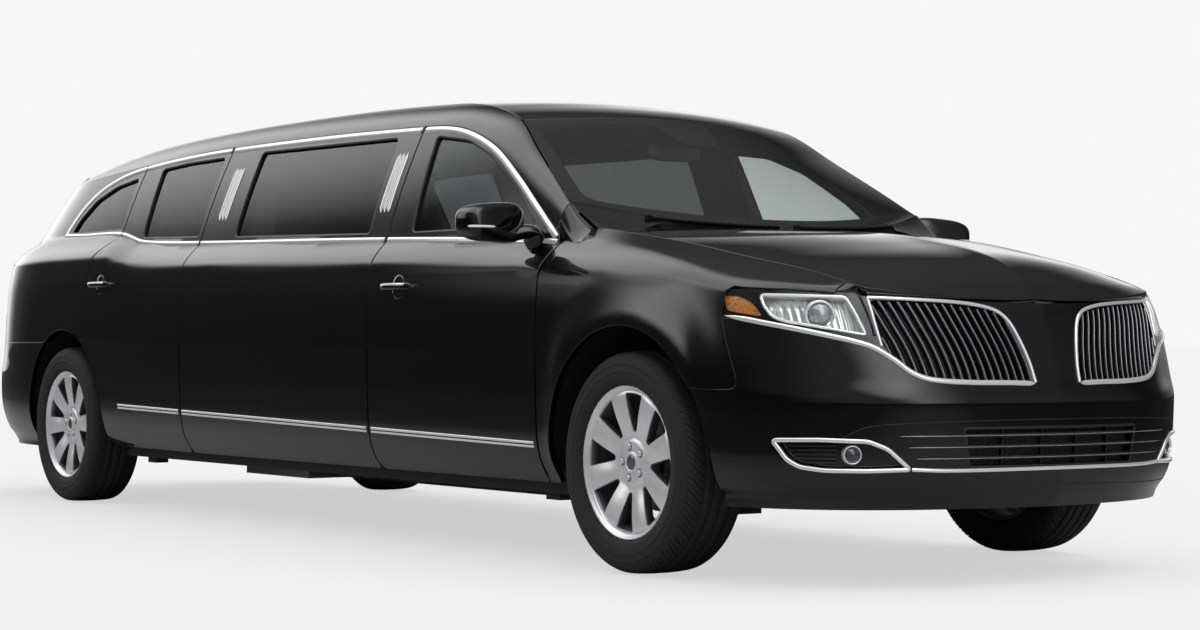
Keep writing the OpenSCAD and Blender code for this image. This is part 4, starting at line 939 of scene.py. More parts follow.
# Wheels: alloy rims with eight flat spokes, five nuts and a plain cap, in low road tyres, over iron discs.
# The tread is cut with round grooves and slanting sipes; the sidewalls carry two moulded ribs and no
# lettering.
def sheet(points, normals=None, around=True, along=False, mark=0):
    """A skin over a grid of points that may close on itself either way. Without normals it takes the mean
    of the faces round each point."""
    n, m = points.shape[:2]
    i, j = np.meshgrid(np.arange(n if along else n - 1), np.arange(m if around else m - 1), indexing="ij")
    a, b = i * m + j, (i + 1) % n * m + j
    c, d = (i + 1) % n * m + (j + 1) % m, i * m + (j + 1) % m
    faces = np.concatenate([np.stack(corners, -1).reshape(-1, 3) for corners in ([a, b, c], [a, c, d])])
    p = points.reshape(-1, 3)
    flat = np.cross(p[faces[:, 1]] - p[faces[:, 0]], p[faces[:, 2]] - p[faces[:, 0]])
    if normals is None:
        lean = np.zeros_like(p)
        for k in range(3):
            np.add.at(lean, faces[:, k], flat)
    else:
        lean = normals.reshape(-1, 3)
        if (flat * lean[faces].mean(1)).sum() < 0:
            faces = faces[:, ::-1]
    return p, faces, unit(lean), np.full(len(faces), mark)


def spun(profile, steps=72, crisp=False, mark=0):
    """A turned skin about the Y axis: the profile gives radius and y, with the outside on its right. A
    crisp one keeps each leg of the profile flat."""
    profile = np.asarray(profile, float)
    if crisp:
        return joined(*(spun(profile[k:k + 2], steps, mark=mark) for k in range(len(profile) - 1)))
    r, y = profile.T
    a = np.arange(steps)[:, None] * 2 * np.pi / steps
    dr, dy = np.gradient(r), np.gradient(y)
    points = np.stack([r * np.cos(a), y + 0 * a, r * np.sin(a)], -1)
    lean = np.stack([dy * np.cos(a), -dr + 0 * a, dy * np.sin(a)], -1)
    return sheet(points, lean, around=False, along=True, mark=mark)


def moved(shape, way):
    """The shape moved by way."""
    return shape[0] + np.asarray(way), *shape[1:]


def turned(shape, angle):
    """The shape turned about the Y axis."""
    c, s = math.cos(angle), math.sin(angle)
    spin = np.array([[c, 0, s], [0, 1, 0], [-s, 0, c]])
    return shape[0] @ spin, shape[1], shape[2] @ spin, shape[3]


def aimed(shape, spot, axis):
    """The shape with its Y axis along axis and its origin at the spot."""
    axis = unit(np.asarray(axis, float))
    across = unit(np.cross(axis, [0, 0, 1.0]))
    basis = np.stack([across, axis, np.cross(across, axis)])
    return shape[0] @ basis + np.asarray(spot), shape[1], shape[2] @ basis, shape[3]


def grained(name, colour, rough, scale, spread=.08, height=0, shade=(.75, 1.2), **constants):
    """A finish with a fine grain: one noise varies its roughness and its colour, within shade, and raises
    it a little."""
    material, shader, w = finish(name, **constants)
    grain = pattern(w, "Noise", scale, Detail=5.0)
    blend(grain, *(tuple(c * k for c in colour) for k in shade)).into(shader, "Base Color")
    (grain * (2 * spread) + (rough - spread)).into(shader, "Roughness")
    if height:
        bump(grain, shader, .4, height)
    return material


BRIGHT = (.97, 1.03)
rubber = grained("tyre_rubber", (.014, .014, .015), .72, 240.0, .10, .0004, Specular_IOR_Level=.3)
alloy = grained("bright_alloy", (.72, .72, .73), .26, 35.0, .03, shade=BRIGHT, Metallic=.50)
# A darker, rougher copy of the alloy, used as painted shade on the spoke walls, inside the barrel and on the
# back of the hub.
alloy_in_painted_shade = grained("cast_alloy", (.30, .30, .31), .42, 160.0, .08, .0003, Metallic=.85)
cap_grey = grained("cap_lacquer", (.16, .16, .17), .22, 60.0, .04, Metallic=.6)
iron = grained("brake_iron", (.32, .31, .30), .38, 210.0, .10, .0003, Metallic=.95)

HUB_Y, TREAD_Y, GROOVES, PITCHES, SPOKES, NUTS = .827, .0875, (.056, .020), 52, 8, 5
groove_steps = np.array([.0052, .0044, 0, -.0044, -.0052, -.0145])
y = np.r_[np.linspace(TREAD_Y, .061, 5), *(c + groove_steps for c in GROOVES)]
y = np.r_[y, 0, -y[::-1]]
tread_r = WHEEL_R - .0035 * (np.abs(y) / TREAD_Y) ** 2.5
tread_r -= .0075 * (np.min([np.abs(np.abs(y) - c) for c in GROOVES], 0) < .0046)
wall = np.array([(.2535, .1070), (.2580, .1160), (.2660, .1222), (.2780, .1258), (.2900, .1270),
                 (.2990, .1274), (.3008, .1290), (.3030, .1290), (.3048, .1272), (.3180, .1262),
                 (.3240, .1252), (.3255, .1264), (.3275, .1262), (.3290, .1244), (.3400, .1216),
                 (.3490, .1170), (.3560, .1110), (.3610, .1040), (.3640, .0970)])
r, y = np.vstack([wall * [1, -1], np.c_[tread_r, y][::-1], wall[::-1]]).T
step_at = np.array([0, .015, .085, .100, .500, .515, .555, .570])
wide = np.tile([0, 1, 1, 0, 0, 0, 0, 0], PITCHES)[:, None]
fine = np.tile([0, 0, 0, 0, 0, 1, 1, 0], PITCHES)[:, None]
angle = ((np.arange(PITCHES)[:, None] + step_at) * 2 * np.pi / PITCHES).reshape(-1, 1)
shoulder = np.clip((np.abs(y) - .062) / .004, 0, 1) * np.clip((.1175 - np.abs(y)) / .006, 0, 1)
rib = (np.abs(np.abs(y) - .038) < .012) | (np.abs(y) < .014)
cut_r = r - wide * .0065 * shoulder - fine * .0045 * np.maximum(shoulder, rib)
a = angle + 2.4 * np.abs(y)
tyre = sheet(np.stack([cut_r * np.cos(a), y + 0 * a, cut_r * np.sin(a)], -1), along=True)

rim_face = line_through([(0, .0860), (.070, .0860), (.080, .0820), (.110, .0860), (.160, .0940),
                         (.210, .0985), (.228, .0985), (.240, .0950)])


def spoke_skin(u, v):
    """Face of the rim over its own plane: a dish that rises to the edge, with each of the eight spokes
    crowned by a wave round the hub."""
    r = np.hypot(u, v)
    crown = .0024 * np.cos(SPOKES * np.arctan2(v, u)) * np.clip((r - .085) / .05, 0, 1)
    return np.stack([u, rim_face(r) + crown, v], -1)


turn = np.linspace(0, 2 * np.pi, 120, endpoint=False)
edge = .2365 * np.c_[np.cos(turn), np.sin(turn)]
window = rounded([(.100, -.009), (.2265, -.0490), (.2305, -.0250), (.2318, 0), (.2305, .0250), (.2265, .0490),
                  (.100, .009)], [.008, .010, .02, .02, .02, .010, .008], 5)
spin = [(math.cos(k), math.sin(k)) for k in np.radians(360 / SPOKES * (np.arange(SPOKES) + .5))]
windows = [window @ np.array([(c, s), (-s, c)]) for c, s in spin]
# The walls of the spoke windows, the back of the face, the inside of the barrel and the back of the hub take
# the darker alloy: painted shade in the recesses of the wheel.
rim = [panel(spoke_skin, [edge, *windows], .034, step=.008, out=-1, hem=.0030, edge=1, back=1),
       spun([(.2536, -.1040), (.2536, .1000), (.2560, .1040), (.2566, .1075), (.2545, .1102), (.2510, .1108),
             (.2478, .1080), (.2455, .1042), (.2420, .1010), (.2385, .0985), (.2365, .0950)], 96),
       spun([(.2370, .0960), (.2340, .0800), (.2270, .0500), (.2250, -.0200), (.2330, -.0800),
             (.2430, -.1060), (.2500, -.1080), (.2536, -.1040)], 96, mark=1),
       spun([(0, .0200), (.0700, .0200), (.0700, .0560)], crisp=True, mark=1),
       spun([(.0350, .0850), (.0350, .0905), (.0335, .0925), (.0285, .0932), (.0262, .0920), (.0255, .0900)]),
       spun([(.0258, .0895), (.0240, .0915), (.0150, .0926), (.0002, .0930)], mark=2)]
seat = spun([(.0150, .0866), (.0120, .0868), (.0002, .0868)], 24, mark=1)
nut = spun([(.0108, .0860), (.0108, .0925), (.0094, .0945), (.0030, .0950), (.0002, .0950)], 6, crisp=True)
for k in np.radians(360 / NUTS * np.arange(NUTS) + 18):
    at = (.0545 * math.cos(k), 0, .0545 * math.sin(k))
    rim += [moved(seat, at), moved(nut, at)]
rim = joined(*rim)
disc = spun([(.0002, -.0895), (.0620, -.0895), (.0620, -.0440), (.1630, -.0440), (.1650, -.0425),
             (.1650, -.0350), (.1560, -.0345), (.1560, -.0280), (.1650, -.0275), (.1650, -.0200),
             (.1630, -.0180), (.0920, -.0180), (.0860, -.0020), (.0800, .0100), (.0600, .0190),
             (.0002, .0190)], 72, crisp=True)
for axle, x, lean in (("f", FX, .28), ("r", RX, .05)):
    for hand, mirror in HANDS:
        name = axle + hand[0]
        for kind, shape, finishes, slot in (("tyre", tyre, [rubber], "tyre"),
                                            ("rim", turned(rim, lean), [alloy, alloy_in_painted_shade, cap_grey],
                                             "alloy"),
                                            ("hub", disc, [iron], "brake_iron")):
            piece(f"{kind}_{name}_wheel", mirror(moved(shape, (x, HUB_Y, WHEEL_R))), f"wheel_{name}",
                  finishes, f"{kind}_{name}", slot=slot)


# Bright trim: bars of bright metal on the skin, one length to each panel so that they part with the doors.
# One line runs round the side windows, one along the belt, and two thin ones along the rocker; three
# upright louvres stand on each post beside the stretch window, and each door has its seal and its pull
# handle.
def laid(surface, places, out=1):
    """Points of a surface at the places, and the way it faces there."""
    u, v = np.asarray(places, float).T
    return surface(u, v), unit(np.cross(*slopes(surface, u, v))) * out


def swept(points, up, half, high, low=.001, loop=False, taper=0, around=14, mark=0):
    """A bar carried along a line: half wide to each side, rising high above the line and low below it on
    two half ovals, drawn to a point over the share taper at both ends."""
    share = np.linspace(0, 1, len(points))
    size = np.sqrt(np.clip(np.minimum(share, 1 - share) / taper, 1e-4, 1)) if taper else np.ones(len(points))
    if not loop:
        points, up = np.r_[points[:1], points, points[-1:]], np.r_[up[:1], up, up[-1:]]
        size = np.r_[1e-3, size, 1e-3]
    run = unit(np.roll(points, -1, 0) - np.roll(points, 1, 0) if loop else np.gradient(points, axis=0))
    up = unit(up - run * (up * run).sum(-1, keepdims=True))
    out, up = np.cross(run, up)[:, None], up[:, None]
    t = (np.arange(around) * 2 * np.pi / around)[:, None]
    rise = np.where(np.sin(t) > 0, high, low) * np.sin(t)
    grid = points[:, None] + (out * half * np.cos(t) + up * rise) * size[:, None, None]
    return sheet(grid, out * np.cos(t) * high + up * np.sin(t) * half, along=loop, mark=mark)


def even(points, step):
    """Points at even steps on a smooth line through the given ones."""
    points = np.asarray(points, float)
    s = np.r_[0, np.cumsum(np.linalg.norm(np.diff(points, axis=0), axis=1))]
    t = np.linspace(0, s[-1], max(2, int(s[-1] / step)))
    return np.stack([line_through(np.c_[s, values])(t) for values in points.T], -1)


def side_bars(low, high):
    """All the bright bars that lie on the left side between two places along it."""
    made = []
    for line, half, rise in ((window_top, .0135, .006), (belt_line, .0125, .007), (rocker_line, .0050, .004),
                             (rocker_line - [0, .0135], .0042, .003)):
        kept = line[(line[:, 0] > low + PARTING) & (line[:, 0] < high - PARTING)]
        if len(kept) > 2:
            made.append(swept(*laid(side, kept, -1), half, rise))
    return made


def seal(loop, surface=side, lift=-.004, mark=1):
    """Rubber round a pane."""
    p, n = laid(surface, dense(loop, .02), -1)
    return swept(p + n * lift, n, .0075, .003, .006, loop=True, around=8, mark=mark)


def pull(x, z):
    """A pull handle: a black bar with a bright lip, bowed out as s to the power 4, over a round dish."""
    s = np.linspace(-1, 1, 30)
    p, n = laid(side, np.c_[x + .108 * s, z + 0 * s], -1)
    out = n * .021 * (1 - s[:, None] ** 4)
    bar = swept(p + n * .007 + out, n, .0135, .008, .007, taper=.05, mark=2)
    lip = swept((p + n * .012 + out + [0, 0, .006])[3:-3], n[3:-3], .0042, .004)
    dish = aimed(spun([(.046, -.004), (.046, .0006), (.040, .0010), (.0002, .0012)], 48, mark=2), p[15],
                 n[15])
    return [bar, lip, dish]


PARTING, TRIM_FRONT, TRIM_REAR, ROCKER_REAR = .0045, FX - .548, RX - .272, FX - 4.035
chrome = grained("bright_metal", (.84, .84, .85), .12, 90.0, .04, shade=BRIGHT, Metallic=.60)
rubber_trim = grained("window_rubber", (.008, .008, .008), .55, 300.0, .1)
handle_black = paint_finish("handle_black")
window_top = even([(FX - .560, 1.132), (FX - .715, 1.236), (FX - .905, 1.360), (FX - 1.110, 1.473),
                   (FX - 1.324, 1.547), (FX - 1.500, 1.579), (FX - 1.710, 1.590), (FX - 2.300, 1.604),
                   (RX + 1.600, 1.610), (RX + 1.000, 1.605), (RX + .420, 1.576), (RX + .180, 1.545),
                   (RX - .030, 1.485), (RX - .160, 1.410), (RX - .250, 1.315), (TRIM_REAR, 1.282)], .02)
x = np.linspace(TRIM_FRONT, TRIM_REAR, 260)
belt_line = np.c_[x, belt(x) + np.interp(x, [TRIM_REAR, RX], [.014, .006])]
x = np.linspace(TRIM_FRONT, ROCKER_REAR, 180)
rocker_line = np.c_[x, np.interp(x, [ROCKER_REAR, FX - .547], [.475, .416])]
louvres = []
for x, z0, z1 in ((FX - 1.782, 1.268, 1.505), (RX + 1.468, 1.292, 1.525)):
    for k in (-1, 0, 1):
        at = np.c_[np.full(14, x + k * .0290), np.linspace(z0, z1, 14)]
        louvres.append(swept(*laid(side, at, -1), .0085, .0080, taper=.06))
fixed_bars = side_bars(BACK_FRONT, DOOR_REAR) + side_bars(-9, BACK_REAR)
piece("side_bright_bars", both(*fixed_bars, *louvres), "body", [chrome], slot="bright_trim")
for hand, mirror in HANDS:
    for kind, loop, ends, spot in (("f", FRONT_PANE, (DOOR_REAR, DOOR_FRONT), (FX - 1.470, .972)),
                                   ("r", BACK_PANE, (BACK_REAR, BACK_FRONT), (RX + .450, 1.028))):
        trim = joined(*side_bars(*ends), seal(loop), *pull(*spot))
        piece(f"door_trim_{kind}_{hand}", mirror(trim), f"door_{kind}{hand[0]}",
              [chrome, rubber_trim, handle_black], slot="bright_trim")
piece("fixed_window_seals", both(seal(STRETCH_PANE), seal(quarter_window, tail_skin)), "body",
      [rubber_trim, rubber_trim], slot="dark_trim")

# Door seals: rubber strips on the body behind the upright gaps of the doors and the tailgate.
# They lie just inside the panels, so that no light passes between them.
strips = []
for x in (DOOR_REAR, BACK_FRONT):
    z = np.linspace(SILL + .01, float(rail(x)) - .03, 40)
    p, n = laid(side, np.c_[np.full(40, x), z], -1)
    strips.append(swept(p - n * (wall_depth(x, z)[:, None] + .008), n, .014, .004, .004, around=8))
z = np.linspace(.800, 1.610, 40)
p, n = laid(tail_skin, np.c_[tail_at_y(gate_edge(z, .012), z), z], -1)
strips.append(swept(p - n * .052, n, .030, .004, .004, around=8))
piece("door_gap_seals", both(*strips), "body", [rubber_trim], slot="dark_trim")


# Grilles: a bright surround that runs on under the headlamp, and upright blades with a bright front edge.
# The blades lean towards the middle of the nose as they go down, and a black shroud closes the space
# behind.
def on_front(places, lift=0):
    """Points on the nose at places given in y and z, and the way it faces there."""
    p, n = laid(nose_skin, on_nose(places))
    return p + n * lift, n


def closed(loop, step=.012):
    """An outline with small round corners, in steps no longer than step."""
    return dense(rounded(loop, .012), step)


def backing(loop, lift, mark, step=.02, surface=nose_skin, out=1):
    """A thin plate behind or before an opening, all of one finish."""
    return panel(surface, [loop], .003, step, out, .001, mark, mark, mark, lift)


shroud = grained("black_shroud", (.006, .006, .006), .6, 120.0, .1)
gloss_black = paint_finish("gloss_black_trim")
blade_grey = grained("blade_lacquer", (.012, .012, .013), .25, 80.0, .05)
blade_edge = grained("blade_edge_metal", (.34, .34, .35), .22, 80.0, .05, shade=(.95, 1.05), Metallic=.70)
blade_lean = line_through([(.640, 0), (.690, .006), (.760, .024), (.830, .050), (.905, .074)])
BLADES, BLADE_FIRST, BLADE_PITCH = 17, .106, .0285
surround = [(.909, .850), (.848, .823), (.758, .794), (.669, .768), (.623, .750), (.572, .713), (.523, .671),
            (.466, .651), (.341, .642), (.200, .640), (.098, .637)]
upper_edge = [(.096, .640), (.103, .700), (.126, .780), (.152, .836), (.187, .866), (.250, .883),
              (.337, .893), (.504, .902), (.606, .906)]
outer_edge = [(.606, .906), (.606, .830), (.600, .756)]
grille = [swept(*on_front(even(surround, .012), .001), .0085, .0065, .012, taper=.03),
          swept(*on_front(even(upper_edge, .012), .001), .0060, .0050, .012),
          swept(*on_front(even(outer_edge, .012), -.002), .0050, .0040, .012)]
z = np.linspace(.636, .906, 120)
for k in range(BLADES):
    at = np.c_[BLADE_FIRST + BLADE_PITCH * k + blade_lean(z), z]
    at = at[within(at, GRILLE) & (clear_of(at, GRILLE) > .002)]
    if len(at) > 12:
        p, n = on_front(at[::3], -.004)
        grille += [swept(p, n, .0017, .0022, .002, around=8, mark=3),
                   swept(p - n * .001, n, .0055, .001, .030, around=8, mark=1)]
grille.append(backing(grille_loop, -.040, 2))
piece("grille_blades", both(*grille), "body", [chrome, blade_grey, shroud, blade_edge], "grille",
      slot="bright_trim")

# Lower grille: a black opening with a fine mesh, crossed by three thin bright lines that run on over the
# skin. Four upright bars stand in the opening, and a bright bar runs under it.
mesh_black, shader, w = finish("intake_mesh", Base_Color=(.006, .006, .006, 1), Roughness=.5)
spot = w.node("ShaderNodeSeparateXYZ", None, {0: place(w)})
cells = larger(*(w.node("ShaderNodeMath", {"operation": "SINE"}, {0: output(spot, axis) * pitch})
                 for axis, pitch in (("Y", 520.0), ("Z", 700.0))))
blend(cells, .002, .022).into(shader, "Base Color")
bump(cells, shader, .6, .003)
lower = [backing(intake_loop, -.030, 1),
         swept(*on_front(closed(INTAKE), -.001), .0050, .0020, .030, loop=True, around=10, mark=2)]
for z, reach in ((.477, .578), (.442, .551), (.407, .527)):
    lower += [swept(*on_front(row(-reach, reach, z, 90), .0005), .0016, .0020, .004, taper=.06, around=10,
                    mark=3),
              swept(*on_front(row(-.362, .362, z, 60), -.004), .0060, .002, .022, around=8, mark=2)]
for y in (-.228, -.076, .076, .228):
    upright = np.c_[np.full(12, y), np.linspace(.380, .498, 12)]
    lower.append(swept(*on_front(upright, -.010), .0022, .001, .016, around=8, mark=2))
under = [(.535, .374), (.440, .370), (.330, .3695), (.200, .370), (.100, .3705), (0, .371)]
lower.append(swept(*on_front(with_mirror(even(under, .015), 1), .0005), .0062, .0050, .003))
piece("lower_grille_bars", joined(*lower), "body", [chrome, mesh_black, shroud, blade_edge], "lower_grille",
      slot="dark_trim")

# Lines of the nose cover: the edge of the intake moulding and the split of the lower lip.
# Each is a dark thread laid on the skin, as a narrow gap shows.
INTAKE_EDGE = [(.723, .474), (.660, .506), (.537, .517), (.400, .521), (.213, .524), (0, .525)]
LIP_SPLIT = [(.925, .408), (.902, .399), (.864, .342), (.822, .316), (.689, .310), (.519, .309), (.250, .314),
             (0, .319)]
lines = [swept(*on_front(with_mirror(even(path, .015), 1)), .0016, .0004, .001, around=6)
         for path in (INTAKE_EDGE, LIP_SPLIT)]
piece("nose_cover_lines", joined(*lines), "body", [shroud], slot="dark_trim")

# Headlamps: a clear lens over a black bezel, with a bright fluted bowl and a projector, and an amber lamp
# outboard. The parts are let in behind the skin at their own depths, and the lens closes them off.
lamp_lens = glass_finish("lamp_lens", (.96, .97, .97), 1.15)
bowl_metal, shader, w = finish("lamp_bowl", Base_Color=(.88, .89, .90, 1), Metallic=.6, Roughness=.12)
flutes = pattern(w, "Wave", 20.0, {"bands_direction": "Y"})
bump(flutes, shader, .6, .004)
(flutes * .1 + .10).into(shader, "Roughness")
amber, shader, w = finish("amber_lens", Base_Color=(.50, .17, .02, 1), Roughness=.15, Coat_Weight=.6)
prisms = pattern(w, "Voronoi", 140.0)
blend(prisms, (.70, .26, .035), (.30, .085, .01)).into(shader, "Base Color")
bump(prisms, shader, .5, .004)
eye, shader, w = finish("projector_eye", Base_Color=(.22, .23, .24, 1), Metallic=.4, Roughness=.04,
                        Coat_Weight=1.0)
blend(pattern(w, "Noise", 25.0), (.08, .085, .09), (.45, .46, .48)).into(shader, "Base Color")


def grown(loop, k):
    """An outline grown k times about its middle."""
    return loop.mean(0) + (loop - loop.mean(0)) * k


bowl_edge = closed([(.848, .918), (.768, .915), (.664, .911), (.636, .790), (.734, .812), (.819, .832),
                    (.842, .847), (.851, .880)])
amber_edge = closed([(.900, .921), (.880, .918), (.867, .897), (.858, .846), (.907, .866)])
lens_loop, bowl_loop, amber_loop = on_nose(closed(HEADLAMP)), on_nose(bowl_edge), on_nose(amber_edge)
bezel_loop = grown(lens_loop, .985)
at, facing = on_front([(.742, .862)], -.040)
aim = facing[0] * [1, .55, 0]
ring = spun([(.0500, -.020), (.0490, .004), (.0465, .009), (.0425, .010), (.0395, .006), (.0380, 0)], 48,
            mark=5)
bulb = spun([(.0385, -.002), (.0360, .006), (.0300, .013), (.0180, .018), (.0002, .020)], 48, mark=3)
units = [panel(nose_skin, [bezel_loop, bowl_loop, amber_loop], .003, step=.016, hem=.002, lift=-.010),
         backing(bezel_loop, -.062, 4), backing(grown(bowl_loop, 1.04), -.048, 1, .012),
         backing(grown(amber_loop, 1.02), -.014, 2, .010),
         swept(*on_front(bowl_edge, -.008), .0052, .0045, .040, loop=True, around=10, mark=5),
         aimed(ring, at[0], aim), aimed(bulb, at[0], aim)]
piece("headlamp_units", both(*units), "body", [gloss_black, bowl_metal, amber, eye, shroud, chrome],
      "headlamps", slot="lamp_clear")
piece("headlamp_lenses", both(backing(lens_loop, -.0015, 0, .012)), "body", [lamp_lens], slot="glass_light")

# Fog lamps: a round lamp in a black bezel with ribs outboard of it, framed by a bright bar.
# They are let into the openings at both ends of the nose cover.
ribs_black = paint_finish("fog_bezel_black")
fog_glass = grained("fog_glass", (.030, .031, .034), .08, 30.0, .02, Coat_Weight=1.0)
fog = [backing(fog_loop, -.026, 1),
       swept(*on_front(closed(FOG, .01), .0005), .0070, .0055, .026, loop=True, around=12)]
for z in (.391, .405, .419, .433, .447):
    rib_row = row(.735, min(.842, .790 + (z - .371) * .8), z, 14)
    fog.append(swept(*on_front(rib_row, -.020), .0045, .004, .004, around=8, mark=1))
at, facing = on_front([(.700, .418)], -.022)
aim = facing[0] * [1, .5, 0]
ring = spun([(.0310, -.006), (.0300, .010), (.0280, .013), (.0255, .011), (.0245, .006)], 40)
bulb = spun([(.0250, .004), (.0200, .009), (.0100, .012), (.0002, .013)], 40, mark=2)
fog += [aimed(ring, at[0], aim), aimed(bulb, at[0], aim)]
piece("fog_lamp_units", both(*fog), "body", [chrome, ribs_black, fog_glass], "fog_lamps", slot="lamp_clear")


# Door mirrors: a gloss black housing on a foot at the corner of the window, with a lamp strip across its
# front. The silvered glass lies in the flattened back of the housing; all of it moves with the front door.
def signed(k, power):
    """A value raised to a power, with its sign kept."""
    return np.sign(k) * np.abs(k) ** power


def pebble(half, roundness=.55, n=48):
    """A rounded box: an ellipsoid whose sines and cosines are raised to the power roundness."""
    u, v = np.meshgrid(np.linspace(-np.pi / 2, np.pi / 2, n // 2), np.arange(n) * 2 * np.pi / n,
                       indexing="ij")
    cu, su, cv, sv = (signed(k, roundness) for k in (np.cos(u), np.sin(u), np.cos(v), np.sin(v)))
    return np.stack([half[0] * cu * cv, half[1] * cu * sv, half[2] * su], -1)


SHELL_HALF, SHELL_BACK = (.072, .134, .070), -.040
mirror_glass = grained("mirror_silver", (.80, .82, .84), .03, 20.0, .01, Metallic=1.0)
strip_lens = grained("lamp_strip", (.75, .76, .78), .18, 180.0, .05, Coat_Weight=.8)
shell = pebble(SHELL_HALF, .62, 64)
shell[..., 2] *= 1 - .16 * shell[..., 1] / SHELL_HALF[1]
behind_shell = shell[..., 0] - SHELL_BACK
shell[..., 0] = np.where(behind_shell < 0, SHELL_BACK + behind_shell * .15, shell[..., 0])
c, s = math.cos(math.radians(-12)), math.sin(math.radians(-12))
twist = np.array([[c, s, 0], [-s, c, 0], [0, 0, 1]])
centre = np.array([FX - .690, HALF_W + .074, 1.184])
housing = sheet(shell @ twist + centre)
a = np.radians(np.linspace(8, 78, 24))
front = np.c_[.0735 * np.cos(a) ** .62, SHELL_HALF[1] * np.sin(a) ** .62, np.full(24, -.018)]
facing = np.c_[np.cos(a), np.sin(a), 0 * a]
lamp_strip = swept(front @ twist + centre, facing @ twist, .0042, .003, .004, taper=.1, mark=1)
t = np.linspace(0, 2 * np.pi, 40, endpoint=False)
wide, high = np.array([[.116], [.0002]]), np.array([[.054], [.0002]])
glass = np.stack([np.full((2, 40), -.0440), wide * signed(np.cos(t), .6), high * signed(np.sin(t), .6)], -1)
glass = sheet(glass @ twist + centre, np.broadcast_to(np.array([-1.0, 0, 0]) @ twist, glass.shape), mark=2)
root, way = laid(side, [(FX - .665, 1.112)], -1)
foot = even([root[0] - way[0] * .004, root[0] + way[0] * .045 + [0, 0, .006], centre - [0, .070, .042]], .008)
foot = swept(foot, np.tile([0, .3, 1.0], (len(foot), 1)), .046, .026, .028, around=20)
for hand, mirror in HANDS:
    piece(f"mirror_{hand}_shell", mirror(joined(housing, lamp_strip, glass, foot)), f"door_f{hand[0]}",
          [gloss_black, strip_lens, mirror_glass], f"mirror_{hand}", slot="dark_trim")

# Wheel arch liners: black moulded shells of felt that close the arches round the tyres.
# Each starts behind the lip of its arch; the front ones are deeper, for the steered wheel.
liner_black = grained("liner_felt", (.010, .010, .010), .85, 150.0, .08, .001, Specular_IOR_Level=.15)
ring = np.array([.4575, .4720, .4740, .4740, .4600, .2000, .0010])
a = np.radians(np.linspace(-6, 186, 60))[:, None]
liners = []
for axle, inside_y in ((FX, .490), (RX, .600)):
    px, pz = axle + ring * np.cos(a), WHEEL_R + ring * np.sin(a)
    skin_y = wall_y(px[:, :1], pz[:, :1]) * end_share(px[:, :1], pz[:, :1])
    inward = [inside_y + d + 0 * skin_y for d in (.02, 0, 0, 0)]
    across = np.concatenate([skin_y - .016, skin_y - .030, .5 * (skin_y + inside_y), *inward], 1)
    liners.append(sheet(np.stack([px, across, pz], -1), around=False))
piece("wheel_arch_liners", both(*liners), "body", [liner_black], slot="underbody")


# Tail details: a dark step under the tailgate, a blank plate in a frame, a bright pull bar and a brake lamp
# strip. The step stays on the body; the rest is fixed to the tailgate.
def across_tail(places):
    """Places in y and z as walked distance and z."""
    y, z = np.asarray(places, float).T
    return np.c_[tail_at_y(np.abs(y), z) * np.sign(y), z]


def on_back(places, lift=0):
    """Points on the tail at places given in y and z, and the way it faces there."""
    p, n = laid(tail_skin, across_tail(places), -1)
    return p + n * lift, n


plate_white = grained("blank_plate", (.72, .72, .70), .45, 60.0, .05)
step = swept(*on_back(row(-.74, .74, .768, 40), -.030), .024, .004, .012, around=8)
piece("tailgate_step", step, "body", [shroud], slot="dark_trim")
plate_edge = closed(box(-.262, .262, .862, .974))
gate_trim = [swept(*on_back(row(-.36, .36, 1.010, 40), .002), .014, .012, .002, taper=.04),
             backing(across_tail(plate_edge), .004, 1, .03, tail_skin, -1),
             swept(*on_back(plate_edge, .003), .0050, .0040, .002, loop=True, around=8),
             swept(*on_back(row(-.15, .15, 1.578, 24), .001), .009, .005, .002, taper=.05, mark=2),
             seal(gate_pane, tail_skin, -.003, 3)]
piece("tailgate_trim", joined(*gate_trim), "tailgate", [chrome, plate_white, lamp_red, rubber_trim],
      slot="bright_trim")


# Seats: leather pads stuffed over frames, with sewn channels that draw the faces in and a soft crown
# between them. Two stand in front, a bench of three lies at the back, and a long one runs along the left
# wall.
def pad(middle, up, face, half, channels=(), crown=.012, n=56):
    """A stuffed pad: a rounded box, long along up and thick along face. Each channel is a sewn line along
    it that draws the face in, and the face swells between the edges as the product of two parabolas."""
    face = unit(np.asarray(face, float))
    up = np.asarray(up, float)
    up = unit(up - face * (up * face).sum())
    grid = pebble(half, .42, n)
    s, t, front = grid[..., 0] / half[0], grid[..., 1] / half[1], np.clip(grid[..., 2] / half[2], 0, 1)
    swell = crown * (1 - s * s) * (1 - t * t)
    for c in channels:
        swell = swell - .011 * np.exp(-((s - c) / .035) ** 2) * np.clip(1 - np.abs(t), 0, .2) / .2
    grid[..., 2] += swell * front
    return sheet(grid @ np.stack([np.cross(up, face), up, face]) + np.asarray(middle))


def block(half, roundness, middle):
    """A plain rounded box."""
    return moved(sheet(pebble(half, roundness, 40)), middle)


